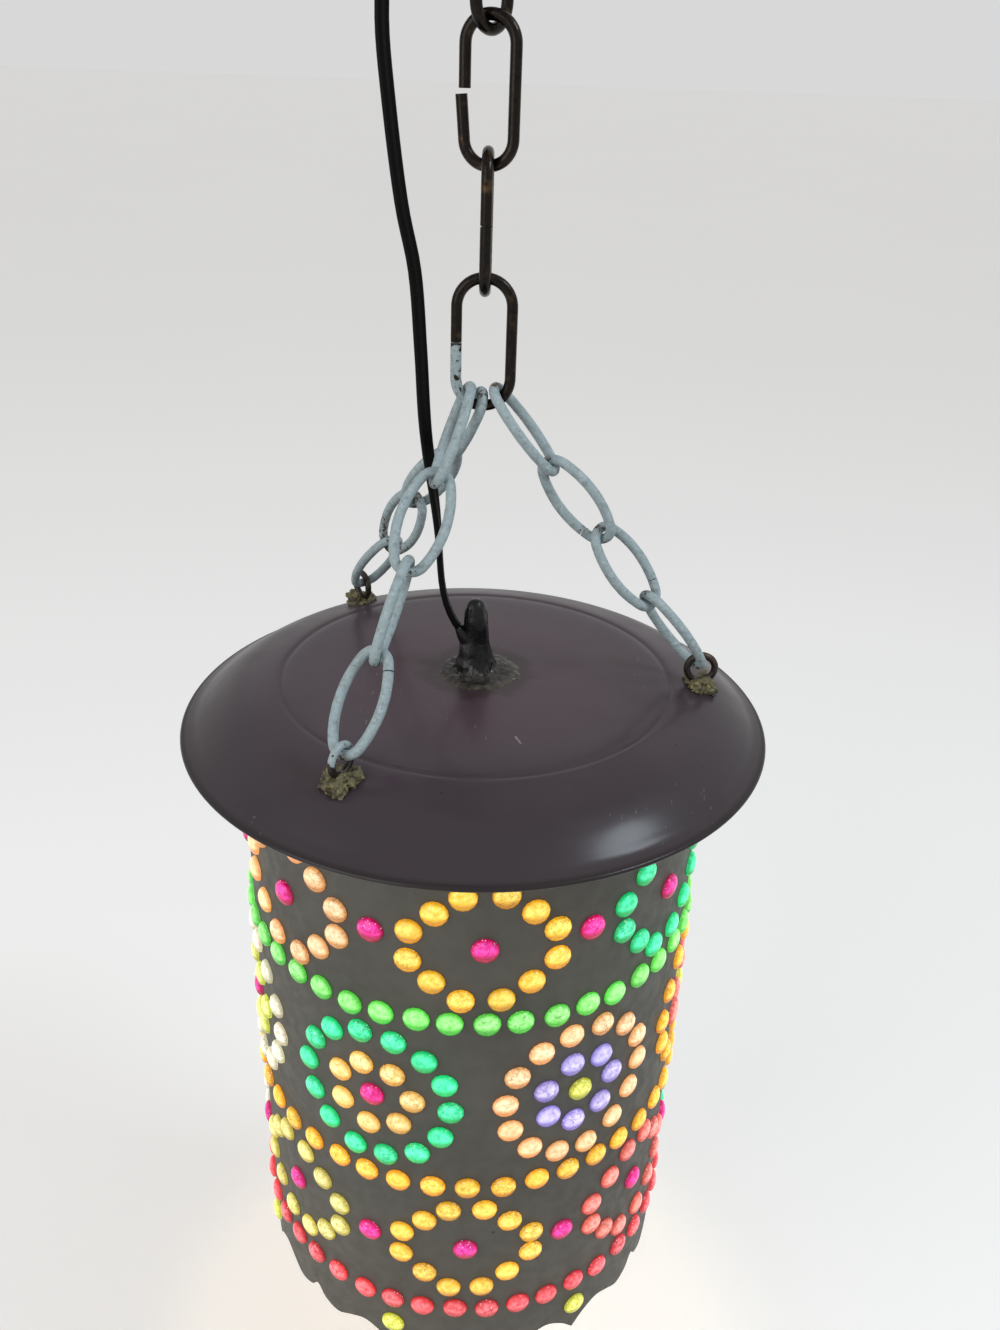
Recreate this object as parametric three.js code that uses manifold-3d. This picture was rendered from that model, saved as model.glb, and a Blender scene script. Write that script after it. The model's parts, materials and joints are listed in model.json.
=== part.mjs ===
// A hanging swag lamp: a pierced sheet-metal shade under an enamelled dish cap, carried by a three-legged
// chain bridle on a link chain, with a flat lamp cord. Millimetres, +Z up, the origin in the middle of the
// hook's ceiling face. +X is to the right and +Y away from a viewer in front.
import * as THREE from "three";
import { mergeVertices } from "three/addons/utils/BufferGeometryUtils.js";
import Module from "manifold-3d";

const wasm = await Module();
wasm.setup();

// Clearances
const GAP = 0.3; // between pieces that rest on each other
const BORE_GAP = 0.35; // round a shank or a tube in its hole
const LINK_GAP = 0.45; // between links, so that they can turn on each other

// Ceiling hook
const HOOK_PLATE_RADIUS = 17;
const HOOK_PLATE_THICKNESS = 3.5;
const HOOK_BOSS_RADIUS = 6.5;
const HOOK_BOSS_HEIGHT = 6;
const HOOK_WIRE = 5.5;
const HOOK_BEND_RADIUS = 13;
const HOOK_NECK_BEND = 6;
const HOOK_TIP_ANGLE = 160; // degrees round the hook's circle, from the side away from its opening

// Main chain: long links with straight sides
const CHAIN_LINKS = 7;
const CHAIN_LINK_LENGTH = 52.4;
const CHAIN_LINK_WIDTH = 22.4;
const CHAIN_WIRE = 4.3;
const CHAIN_TWISTS = [0, 76, -16, 55, -12, 90, 0]; // degrees about the chain's line, top link first
const BUTT_JOINT = 0.5; // the slit where a link's wire ends meet
const SPRUNG_JOINT = 1.8; // the same on the link that has sprung open
const SPRUNG_LINK = 5; // which link that is, from the top
const BRIDLE_LINK_WIDTH = 25.4; // the lowest link is spread to take the three legs

// Legs: three chains of oval links
const LEG_LINKS = 4;
const LEG_LINK_WIDTH = 22.5;
const LEG_LINK_END_RADIUS = 6.3;
const LEG_WIRE = 4.1;
const LEGS = [
  // azimuth of the eye, place on the bridle link's bow from its lowest point, and each link's twist, in degrees
  { name: "right", azimuth: 0, bow: 50, twists: [80, -28, 46, -60] },
  { name: "rear", azimuth: 127, bow: 2, twists: [-30, 80, 10, 92] },
  { name: "front", azimuth: -119, bow: -52, twists: [44, 114, 22, 92] },
];

// Eyes and what holds them
const EYE_INSIDE_SHADE = 4.1; // from the shade's outer face in to the middle of an eye's shank
const EYE_WIRE = 3;
const EYE_RING_RADIUS = 6; // to the middle of its wire
const EYE_RING_HEIGHT = 26.7; // the middle of the ring, above the cap's rim
const BLOB_RADIUS = 7.4;
const BLOB_HEIGHT = 5;
const NUT_ACROSS = 5.5;
const NUT_HEIGHT = 2.4;
const SHANK_PAST_NUT = 1.2;

// Cap: heights are above its rim
const CAP_RADIUS = 127;
const CAP_SHEET = 1;
const CAP_CENTRE_HEIGHT = 21.4;
const CAP_PROFILE = [
  // radius and height of the outer face: the flat middle, the shallow ring line, the shoulder and the flare
  [64, 21],
  [81.5, 20.4],
  [84, 19.8],
  [86.5, 20],
  [97, 17.6],
  [105, 15],
  [112, 11],
  [117.6, 6.8],
  [121.5, 3.6],
  [125.3, 1.7],
];
const CAP_LIP = [
  // the rolled lip, from below
  [124.6, -0.2],
  [126, -0.8],
  [CAP_RADIUS, 0.3],
  [126.5, 1.3],
];
const CAP_SEGMENTS = 42;

// Shade
const SHADE_RADIUS = 101.6;
const SHADE_SHEET = 0.8;
const SHADE_FLANGE_REACH = 11; // its turned-in top edge, under the cap
const EDGE_PERIODS = 7; // round the lower edge
const EDGE_TIP_ANGLE = -56; // degrees, the azimuth of one tip
const EDGE_SHAPE = [
  // parts of a period from the tip, and depth below the cap's rim
  [0, 298],
  [0.08, 290.5],
  [0.165, 287],
  [0.25, 289.6],
  [0.35, 294],
  [0.44, 291.6],
  [0.5, 286],
];

// Cord entry, nipple and socket: heights are above the cap's rim
const BOOT_PROFILE = [
  // radius and height above the cap
  [9.7, 0],
  [9.5, 4],
  [8.9, 11],
  [8.1, 20],
  [7.3, 28],
  [6.3, 33],
  [4.6, 36],
  [2.4, 37.3],
];
const BOOT_HEIGHT = 37.6;
const BOOT_CAVITY = [
  [8.2, 0],
  [8.2, 4.4],
  [7.1, 11],
  [6.1, 20],
  [4.6, 26],
  [2.4, 28.4],
];
const BOOT_CAVITY_HEIGHT = 28.8;
const SEALANT_RADIUS = 18.2;
const SEALANT_OFFSET = 1.1; // to the right of the cap's middle
const SEALANT_THICKNESS = 1.8;
const NIPPLE_RADIUS = 5;
const NIPPLE_BORE = 3.4;
const NIPPLE_ABOVE_CAP = 8.6;
const LOCKNUT_ACROSS = 13;
const LOCKNUT_HEIGHT = 3;
const WASHER_RADIUS = 9;
const WASHER_THICKNESS = 1.2;
const LEAD_RADIUS = 2.4;
const LEAD_TOP = 35.7;
const SOCKET_TOP = 13;
const SOCKET_NECK_RADIUS = 7.6;
const SOCKET_CAP_BOTTOM = -5;
const SOCKET_SHEET = 0.7;
const SOCKET_SHELL_TOP = -0.6;
const SOCKET_SHELL_BOTTOM = -42;
const LINER_THICKNESS = 0.7;
const LINER_BOTTOM = -43.5;
const SOCKET_BODY_TOP = -1.6;
const SOCKET_BODY_BOTTOM = -18;
const SCREW_SHELL_BOTTOM = -38;
const SCREW_SHELL_SHEET = 0.45;
const KNOB_HEIGHT = -10.5;
const KNOB_SHAFT_RADIUS = 1.6;
const KNOB_LENGTH = 10.5;
const KNOB_WIDTH = 12;
const KNOB_THICKNESS = 5.4;

// Bulb
const BULB_BASE_RADIUS = 13.1;
const BULB_BASE_LENGTH = 22.6;
const BULB_THREAD_PITCH = 3.6;
const BULB_THREAD_DEPTH = 0.8;
const BULB_GLASS_PROFILE = [
  // radius and depth under the base
  [12.6, 0.3],
  [12.9, 5],
  [15, 13],
  [19.6, 24],
  [25.2, 36],
  [29, 46],
  [30, 54.5],
  [28.9, 63],
  [25.4, 71.5],
  [19.4, 78.6],
  [10.8, 83],
];
const BULB_GLASS_LENGTH = 84.3;

// Flat two-conductor cord
const CORD_WIDTH = 5.2;
const CORD_THICKNESS = 2.7;
const COIL_LAYERS = 4;
const COIL_LAYER_TURNS = 3.875;
const COIL_CLIMB_TURNS = 0.5; // each climb from a layer to the next, where the spiral reverses
const COIL_TURNS = 17.25;
const COIL_STEPS = 24; // to a turn
const COIL_OUTER_RADIUS = 37.2;
const COIL_RADIAL_STEP = 3.2;
const COIL_LAYER_STEP = 5.7;
const COIL_DIP = 1.6; // how far a climb stands off the turns that it passes
const COIL_START = -20; // degrees up from the side of the coil that faces the front
const COIL_CENTRE = [-23.2, 32.6, 327]; // above the cap's rim
const CORD_ROUTE = [
  // the free stretch, above the cap's rim, from inside the boot up to where it bends into the coil
  [-3.4, 0, 36.2],
  [-9.6, 0, 45],
  [-12.6, 0.3, 51.5],
  [-14.9, 1, 60],
  [-17.5, 2, 89.6],
  [-22.4, 3, 127],
  [-24.4, 4, 158.2],
  [-26.8, 5, 187.8],
  [-31.5, 6, 210],
  [-36.2, 7, 246],
  [-38.2, 7.6, 270],
  [-37.2, 6.4, 285],
  [-34, 3.3, 298],
];
const CORD_TWIST = [70, 150]; // between these heights it turns from edge-on to flat towards the front
const CORD_STEP = 12.5;
const TIE_THICKNESS = 1.3;
const TIE_WIDTH = 8.6;
const PLUG_REAR = [-18.5, 39, 373.4]; // the middle of the end where the cord goes in, above the cap's rim
const PLUG_LENGTH = 27;
const PLUG_WIDTH = 21;
const PLUG_THICKNESS = 12;
const BLADE_SPACING = 12.7;
const BLADE_LENGTH = 17.5;
const BLADE_WIDTH = 6.3;
const BLADE_THICKNESS = 1.5;

// Places that follow from those
const eyeCircleRadius = SHADE_RADIUS - EYE_INSIDE_SHADE;
const chainPitch = CHAIN_LINK_LENGTH - 2 * CHAIN_WIRE - LINK_GAP;
const hookCircleHeight =
  -HOOK_PLATE_THICKNESS - HOOK_BOSS_HEIGHT - 2 * HOOK_NECK_BEND - HOOK_BEND_RADIUS + HOOK_WIRE / 2;
const topLinkHeight =
  hookCircleHeight - HOOK_BEND_RADIUS + HOOK_WIRE / 2 + LINK_GAP + CHAIN_WIRE - CHAIN_LINK_LENGTH / 2;
const bridleLinkHeight = topLinkHeight - (CHAIN_LINKS - 1) * chainPitch;
const BRIDLE_LINK_ABOVE_RIM = 162.6;
const rim = bridleLinkHeight - BRIDLE_LINK_ABOVE_RIM;

const radians = THREE.MathUtils.degToRad;
const point = (x, y, z) => new THREE.Vector3(x, y, z);

// Finishes
const finish = (color, roughness, metalness, more = {}) =>
  new THREE.MeshStandardMaterial({ color, roughness, metalness, ...more });
const bronze = finish(0x2e2822, 0.45, 0.8);
const paleEnamel = finish(0x9fb0b4, 0.6, 0.1);
const wornEye = finish(0x4a4038, 0.6, 0.6);
const capEnamel = finish(0x55484d, 0.35, 0.2);
const shadePaint = finish(0x6f6a60, 0.55, 0.2);
const blackRubber = finish(0x16161a, 0.5, 0);
const sealant = finish(0x241f1b, 0.8, 0);
const epoxy = finish(0x8c8a5a, 0.7, 0);
const plainSteel = finish(0xa3a5a6, 0.4, 0.9);
const brass = finish(0xb08d4a, 0.35, 0.9);
const bakelite = finish(0x2b1a12, 0.5, 0);
const paper = finish(0xb59f78, 0.9, 0);
const bulbGlass = finish(0xf4ead6, 0.3, 0, { transparent: true, opacity: 0.8 });
const cordVinyl = finish(0x111114, 0.45, 0);
const tieCloth = finish(0x2c2c30, 0.9, 0);

const lamp = new THREE.Group();

function add(name, geometry, material, place = new THREE.Matrix4()) {
  const mesh = new THREE.Mesh(geometry, material.clone());
  mesh.name = name;
  mesh.applyMatrix4(place);
  lamp.add(mesh);
  return mesh;
}

// Solids for joining and cutting
function solid(geometry) {
  const bare = geometry.clone();
  bare.deleteAttribute("normal");
  bare.deleteAttribute("uv");
  const merged = mergeVertices(bare, 1e-4);
  const numProp = 3;
  const vertProperties = merged.attributes.position.array;
  const triVerts = new Uint32Array(merged.index.array);
  return new wasm.Manifold(new wasm.Mesh({ numProp, vertProperties, triVerts }));
}

function surface(body) {
  const mesh = body.getMesh();
  const geometry = new THREE.BufferGeometry();
  geometry.setAttribute("position", new THREE.BufferAttribute(mesh.vertProperties, mesh.numProp));
  geometry.setIndex(new THREE.BufferAttribute(mesh.triVerts, 1));
  return geometry;
}

const joined = (...shapes) => surface(shapes.map(solid).reduce((all, next) => all.add(next)));
const cut = (shape, ...tools) => surface(tools.map(solid).reduce((left, tool) => left.subtract(tool), solid(shape)));

// A profile of [radius, height] pairs turned about the Z axis
function turned(profile, segments) {
  const lathe = new THREE.LatheGeometry(profile.map(([r, z]) => new THREE.Vector2(r, z)), segments);
  return lathe.rotateX(Math.PI / 2);
}

// A closed profile that doesn't reach the axis
const turnedRing = (profile, segments) => turned([...profile, profile[0]], segments);

const tube = (outer, inner, low, high, segments) =>
  turnedRing([[inner, low], [outer, low], [outer, high], [inner, high]], segments);

const rod = (radius, low, high, segments) => turned([[0, low], [radius, low], [radius, high], [0, high]], segments);

function hexNut(across, bore, height) {
  const outline = new THREE.Shape();
  const corner = across / Math.sqrt(3);
  for (let i = 0; i < 6; i++) {
    const angle = radians(60 * i);
    outline[i ? "lineTo" : "moveTo"](corner * Math.cos(angle), corner * Math.sin(angle));
  }
  const hole = new THREE.Path();
  hole.absarc(0, 0, bore, 0, 2 * Math.PI, true);
  outline.holes.push(hole);
  return new THREE.ExtrudeGeometry(outline, { depth: height, bevelEnabled: false, curveSegments: 8 });
}

// A skin over rings of points, with ends, or closed round
function skinned(rings, closed = false) {
  const sides = rings[0].length;
  const count = rings.length;
  const faces = [];
  for (let i = 0; i < (closed ? count : count - 1); i++) {
    const low = i * sides;
    const high = ((i + 1) % count) * sides;
    for (let j = 0; j < sides; j++) {
      const next = (j + 1) % sides;
      faces.push(low + j, low + next, high + next, low + j, high + next, high + j);
    }
  }
  for (let j = 1; j < sides - 1 && !closed; j++) {
    const last = (count - 1) * sides;
    faces.push(0, j + 1, j, last, last + j, last + j + 1);
  }
  const positions = rings.flat().flatMap((p) => [p.x, p.y, p.z]);
  const geometry = new THREE.BufferGeometry();
  geometry.setAttribute("position", new THREE.Float32BufferAttribute(positions, 3));
  geometry.setIndex(faces);
  return geometry;
}

// A wire or cord: each station has a centre and two directions across its section
const swept = (stations, outline) =>
  skinned(
    stations.map(({ at, across, through }) =>
      outline.map(([a, b]) => at.clone().addScaledVector(across, a).addScaledVector(through, b)),
    ),
  );

const roundSection = (diameter, sides) =>
  Array.from({ length: sides }, (_, i) => {
    const angle = (2 * Math.PI * (i + 0.5)) / sides;
    return [(diameter / 2) * Math.cos(angle), (diameter / 2) * Math.sin(angle)];
  });

// A wire bent in the XZ plane: stations from points of that plane
function bentWire(points, diameter, sides) {
  const stations = points.map((here, i) => {
    const before = points[Math.max(i - 1, 0)];
    const after = points[Math.min(i + 1, points.length - 1)];
    const along = point(after.x - before.x, 0, after.y - before.y).normalize();
    const stretch = bendStretch(before, here, after);
    const across = point(along.z, 0, -along.x).multiplyScalar(stretch);
    return { at: point(here.x, 0, here.y), across, through: point(0, 1, 0) };
  });
  return swept(stations, roundSection(diameter, sides));
}

// How much wider a mitred section is at a corner than across the wire
function bendStretch(before, here, after) {
  const inward = here.clone().sub(before);
  const outward = after.clone().sub(here);
  if (inward.length() < 1e-6 || outward.length() < 1e-6) return 1;
  return 1 / Math.cos(inward.angleTo(outward) / 2);
}

const bow = (cx, cy, radius, from, to, steps) =>
  Array.from({ length: steps + 1 }, (_, i) => {
    const angle = radians(from + ((to - from) * i) / steps);
    return new THREE.Vector2(cx + radius * Math.cos(angle), cy + radius * Math.sin(angle));
  });

// A long link in the XZ plane, its joint in the middle of its left side; its bows have a corner where links meet
function longLink(length, width, wire, joint, steps, spread) {
  const endRadius = (width - wire) / 2;
  const straight = length / 2 - wire / 2 - endRadius;
  const points = [
    new THREE.Vector2(-endRadius, joint / 2),
    ...bow(0, straight, endRadius, 180, 0, steps),
    ...bow(0, -straight, endRadius, 0, -180, steps),
    new THREE.Vector2(-endRadius - spread, -joint / 2),
  ];
  return bentWire(points, wire, 7);
}

// An oval link in the XZ plane: small bows at its ends and large ones along its sides, its joint in one side
function ovalLink(length, width, wire, endRadius, joint) {
  const halfLength = (length - wire) / 2;
  const halfWidth = (width - wire) / 2;
  const reach = halfLength - endRadius;
  const sideRadius = (endRadius ** 2 - halfWidth ** 2 - reach ** 2) / (2 * (endRadius - halfWidth));
  const tangent = THREE.MathUtils.radToDeg(Math.atan2(reach, sideRadius - halfWidth));
  const slit = THREE.MathUtils.radToDeg(joint / 2 / sideRadius);
  const inner = sideRadius - halfWidth;
  const points = [
    ...bow(inner, 0, sideRadius, 180 - slit, 180 - tangent, 2),
    ...bow(0, reach, endRadius, 180 - tangent, tangent, 6).slice(1),
    ...bow(-inner, 0, sideRadius, tangent, -tangent, 4).slice(1),
    ...bow(0, -reach, endRadius, -tangent, tangent - 180, 6).slice(1),
    ...bow(inner, 0, sideRadius, tangent - 180, slit - 180, 2).slice(1),
  ];
  return bentWire(points, wire, 6);
}

// Ceiling hook: a plate, a boss and a question-mark bend of wire, cast in one
function ceilingHook() {
  const base = turned(
    [
      [0, -HOOK_PLATE_THICKNESS - HOOK_BOSS_HEIGHT],
      [HOOK_BOSS_RADIUS - 1.5, -HOOK_PLATE_THICKNESS - HOOK_BOSS_HEIGHT],
      [HOOK_BOSS_RADIUS, -HOOK_PLATE_THICKNESS - HOOK_BOSS_HEIGHT + 1.5],
      [HOOK_BOSS_RADIUS + 0.6, -HOOK_PLATE_THICKNESS - 1.4],
      [HOOK_PLATE_RADIUS - 2.4, -HOOK_PLATE_THICKNESS],
      [HOOK_PLATE_RADIUS, -HOOK_PLATE_THICKNESS / 2],
      [HOOK_PLATE_RADIUS, 0],
      [0, 0],
    ],
    24,
  );
  const plateHole = rod(1.9, -HOOK_PLATE_THICKNESS - 1, 1, 8);
  const holePlace = (HOOK_BOSS_RADIUS + HOOK_PLATE_RADIUS) / 2;
  const holes = [holePlace, -holePlace].map((x) => plateHole.clone().translate(x, 0, 0));
  // The neck drops from the boss, swings out and joins the circle at its top
  const neckTop = -HOOK_PLATE_THICKNESS - HOOK_BOSS_HEIGHT + 1;
  const circleTop = hookCircleHeight + HOOK_BEND_RADIUS;
  const line = [
    new THREE.Vector2(0, neckTop),
    ...bow(HOOK_NECK_BEND, circleTop + HOOK_NECK_BEND, HOOK_NECK_BEND, 180, 250, 4),
    ...bow(0, hookCircleHeight, HOOK_BEND_RADIUS, 62, HOOK_TIP_ANGLE - 360, 15),
  ];
  const wire = bentWire(line, HOOK_WIRE, 8).rotateZ(Math.PI / 2);
  return joined(cut(base, ...holes), wire);
}
add("swag_hook", ceilingHook(), bronze);

// Main chain
const linkHeight = (i) => topLinkHeight - i * chainPitch;
for (let i = 0; i < CHAIN_LINKS; i++) {
  const lowest = i === CHAIN_LINKS - 1;
  const sprung = i === SPRUNG_LINK - 1;
  const width = lowest ? BRIDLE_LINK_WIDTH : CHAIN_LINK_WIDTH;
  const joint = sprung ? SPRUNG_JOINT : BUTT_JOINT;
  const link = longLink(CHAIN_LINK_LENGTH, width, CHAIN_WIRE, joint, 8, sprung ? 1.2 : 0);
  const place = new THREE.Matrix4().makeRotationZ(radians(CHAIN_TWISTS[i])).setPosition(0, 0, linkHeight(i));
  add("chain_link_" + (i + 1), link, bronze, place);
}

// Legs: each chain is as long as the way from its seat on the bridle link to its eye
const bridleBow = (BRIDLE_LINK_WIDTH - CHAIN_WIRE) / 2;
const bowHeight = bridleLinkHeight - CHAIN_LINK_LENGTH / 2 + CHAIN_WIRE / 2 + bridleBow;
const onWire = (CHAIN_WIRE + LEG_WIRE) / 2 + LINK_GAP;
const eyeHeight = rim + EYE_RING_HEIGHT;
const inEye = EYE_RING_RADIUS - (EYE_WIRE + LEG_WIRE) / 2 - LINK_GAP;
for (const { name, azimuth, bow: seat, twists } of LEGS) {
  const turn = radians(azimuth);
  const [sine, cosine] = [Math.sin(radians(seat)), Math.cos(radians(seat))];
  const wire = point(bridleBow * sine, 0, bowHeight - bridleBow * cosine);
  const eye = point(eyeCircleRadius * Math.cos(turn), eyeCircleRadius * Math.sin(turn), eyeHeight);
  // The first link bears on the far side of the wire, square to it, as its pull brings it
  const pull = eye.clone().sub(wire).projectOnPlane(point(cosine, 0, sine)).normalize();
  const top = wire.clone().addScaledVector(pull, -onWire);
  const down = eye.clone().sub(top);
  const run = down.length() - inEye;
  down.normalize();
  const length = (run + (2 * LEG_LINKS - 1) * LEG_WIRE + (LEG_LINKS - 1) * LINK_GAP) / LEG_LINKS;
  const pitch = length - 2 * LEG_WIRE - LINK_GAP;
  const side = point(-Math.sin(turn), Math.cos(turn), 0).projectOnPlane(down).normalize();
  const over = down.clone().cross(side);
  twists.forEach((twist, i) => {
    const width = over.clone().multiplyScalar(Math.cos(radians(twist)));
    width.addScaledVector(side, Math.sin(radians(twist)));
    const along = down.clone().negate();
    const centre = top.clone().addScaledVector(down, i * pitch + (length - LEG_WIRE) / 2);
    const place = new THREE.Matrix4().makeBasis(width, along.clone().cross(width), along).setPosition(centre);
    const link = ovalLink(length, LEG_LINK_WIDTH, LEG_WIRE, LEG_LINK_END_RADIUS, BUTT_JOINT);
    add("leg_" + name + "_link_" + (i + 1), link, paleEnamel, place);
  });
}

// The cap's outer face at a radius
function capHeight(radius) {
  const face = [[0, CAP_CENTRE_HEIGHT], ...CAP_PROFILE];
  const i = face.findIndex(([r]) => r >= radius);
  const [[r0, h0], [r1, h1]] = [face[i - 1], face[i]];
  return h0 + ((h1 - h0) * (radius - r0)) / (r1 - r0);
}

// Cap: one sheet of even thickness with holes for the nipple and the eyes
function capSheet() {
  const outer = [[NIPPLE_RADIUS + BORE_GAP, CAP_CENTRE_HEIGHT], ...CAP_PROFILE];
  const inner = outer.slice(0, -1).map(([r, h], i) => {
    const [r1, h1] = outer[i + 1];
    const slope = i ? Math.atan2(h - h1, r1 - r) : 0;
    return [r - CAP_SHEET * Math.sin(slope), h - CAP_SHEET * Math.cos(slope)];
  });
  const sheet = turnedRing([...inner, ...CAP_LIP, ...outer.reverse()], CAP_SEGMENTS);
  return cut(sheet, ...atEyes(rod(EYE_WIRE / 2 + BORE_GAP, 0, CAP_CENTRE_HEIGHT + 4, 8)));
}

const atEyes = (shape) =>
  LEGS.map(({ azimuth }) => shape.clone().translate(eyeCircleRadius, 0, 0).rotateZ(radians(azimuth)));

const onCap = new THREE.Matrix4().makeTranslation(0, 0, rim);
add("cap", capSheet(), capEnamel, onCap);

// Shade: a sheet cylinder with a wavy lower edge and a turned-in top edge that lies under the cap
const underCap = (radius) => capHeight(radius) - CAP_SHEET * 1.06 - GAP - 0.1;
const flangeSlope = (underCap(SHADE_RADIUS - SHADE_FLANGE_REACH) - underCap(SHADE_RADIUS)) / SHADE_FLANGE_REACH;
const flangeTop = (radius) => underCap(SHADE_RADIUS) + (SHADE_RADIUS - radius) * flangeSlope * 0.9;

function shadeSheet() {
  const period = (2 * Math.PI) / EDGE_PERIODS;
  const mirrored = EDGE_SHAPE.slice(1, -1)
    .reverse()
    .map(([part, depth]) => [1 - part, depth]);
  const inner = SHADE_RADIUS - SHADE_SHEET;
  const lip = SHADE_RADIUS - SHADE_FLANGE_REACH;
  const rings = [];
  for (let i = 0; i < EDGE_PERIODS; i++) {
    for (const [part, depth] of [...EDGE_SHAPE, ...mirrored]) {
      const angle = radians(EDGE_TIP_ANGLE) + (i + part) * period;
      const section = [
        [inner, -depth],
        [inner, flangeTop(inner) - SHADE_SHEET],
        [lip, flangeTop(lip) - SHADE_SHEET],
        [lip, flangeTop(lip)],
        [inner, flangeTop(inner)],
        [SHADE_RADIUS, flangeTop(SHADE_RADIUS) - SHADE_SHEET],
        [SHADE_RADIUS, -depth],
      ];
      rings.push(section.map(([r, z]) => point(r * Math.cos(angle), r * Math.sin(angle), z)));
    }
  }
  return cut(skinned(rings, true), ...atEyes(rod(EYE_WIRE / 2 + BORE_GAP, 5, CAP_CENTRE_HEIGHT, 8)));
}
add("shade", shadeSheet(), shadePaint, onCap);

// Eyes: a ring on a threaded shank, in a blob of epoxy on the cap, with a nut under the shade's flange
const nutTop = flangeTop(eyeCircleRadius + NUT_ACROSS / 2) - SHADE_SHEET - GAP;
const shankBottom = nutTop - NUT_HEIGHT - SHANK_PAST_NUT;

function eyeBolt(extra) {
  const wire = EYE_WIRE / 2 + extra;
  const ring = new THREE.TorusGeometry(EYE_RING_RADIUS, wire, 6, 14).rotateX(Math.PI / 2);
  ring.translate(0, 0, EYE_RING_HEIGHT);
  return joined(ring, rod(wire, shankBottom, EYE_RING_HEIGHT - EYE_RING_RADIUS, 8));
}

function blob() {
  const lump = new THREE.SphereGeometry(1, 10, 6).rotateX(Math.PI / 2);
  lump.scale(BLOB_RADIUS, BLOB_RADIUS * 1.1, BLOB_HEIGHT).translate(eyeCircleRadius, 0, capHeight(eyeCircleRadius));
  const raised = CAP_PROFILE.map(([r, h]) => [r, h + GAP]).reverse();
  const capTool = turned([[0, -1], [CAP_RADIUS - 2, -1], ...raised, [0, CAP_CENTRE_HEIGHT + GAP]], CAP_SEGMENTS);
  return cut(lump, capTool, eyeBolt(GAP).translate(eyeCircleRadius, 0, 0));
}

const nut = hexNut(NUT_ACROSS, EYE_WIRE / 2 + BORE_GAP, NUT_HEIGHT).rotateZ(Math.PI / 6);
for (const { name, azimuth } of LEGS) {
  const place = new THREE.Matrix4().makeRotationZ(radians(azimuth)).setPosition(0, 0, rim);
  add("eye_" + name, eyeBolt(0).translate(eyeCircleRadius, 0, 0), wornEye, place);
  add("eye_" + name + "_epoxy", blob(), epoxy, place);
  add("eye_" + name + "_nut", nut.clone().translate(eyeCircleRadius, 0, nutTop - NUT_HEIGHT), plainSteel, place);
}

// Cord entry: a rubber boot over the nipple, with a slot in its side for the cord, on a pad of sealant
const capTop = CAP_CENTRE_HEIGHT + GAP;
const route = CORD_ROUTE.map(([x, y, z]) => point(x, y, z + rim));

function boot() {
  const raise = ([r, h]) => [r, h + capTop];
  const outer = turned([[0, capTop], ...BOOT_PROFILE.map(raise), [0, capTop + BOOT_HEIGHT]], 16);
  const cavity = turned([[0, 0], [BOOT_CAVITY[0][0], 0], ...BOOT_CAVITY.map(raise), [0, capTop + BOOT_CAVITY_HEIGHT]], 16);
  const slot = new THREE.BoxGeometry(CORD_THICKNESS + 2 * BORE_GAP, CORD_WIDTH + 2 * BORE_GAP, 12).translate(0, 0, 8);
  const [[x0, , z0], [x1, , z1]] = CORD_ROUTE;
  slot.rotateY(Math.atan2(x1 - x0, z1 - z0)).translate(x0, 0, z0);
  return cut(outer, cavity, slot);
}
add("cord_boot", boot(), blackRubber, onCap);

function sealantPad() {
  const inner = BOOT_PROFILE[0][0] + GAP;
  const count = 24;
  const rings = Array.from({ length: count }, (_, i) => {
    const angle = (2 * Math.PI * i) / count;
    const waves = 0.06 * Math.sin(2 * angle + 0.8) + 0.04 * Math.sin(5 * angle + 1) + 0.03 * Math.sin(9 * angle);
    const edge = SEALANT_RADIUS * (1 + waves);
    const section = [
      [inner, 1],
      [edge * 0.82, 0.7],
      [edge * 0.97, 0.35],
      [edge, 0],
      [inner, 0],
    ];
    return section.map(([r, h]) => {
      const shift = SEALANT_OFFSET * ((r - inner) / (edge - inner));
      return point(r * Math.cos(angle) + shift, r * Math.sin(angle), capTop + h * SEALANT_THICKNESS);
    });
  });
  return skinned(rings, true);
}
add("sealant_pad", sealantPad(), sealant, onCap);

// Nipple through the cap, with a locknut above and a washer and locknut below
const capUnder = CAP_CENTRE_HEIGHT - CAP_SHEET - GAP;
const nippleHole = NIPPLE_RADIUS + BORE_GAP;
const nippleBottom = SOCKET_TOP - 6;
const locknut = hexNut(LOCKNUT_ACROSS, nippleHole, LOCKNUT_HEIGHT);
add("nipple", tube(NIPPLE_RADIUS, NIPPLE_BORE, nippleBottom, CAP_CENTRE_HEIGHT + NIPPLE_ABOVE_CAP, 16), brass, onCap);
add("locknut_upper", locknut.clone().translate(0, 0, capTop), brass, onCap);
add("nipple_washer", tube(WASHER_RADIUS, nippleHole, capUnder - WASHER_THICKNESS, capUnder, 16), plainSteel, onCap);
const lowerNutPlace = capUnder - WASHER_THICKNESS - GAP - LOCKNUT_HEIGHT;
add("locknut_lower", locknut.clone().translate(0, 0, lowerNutPlace), brass, onCap);

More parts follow.
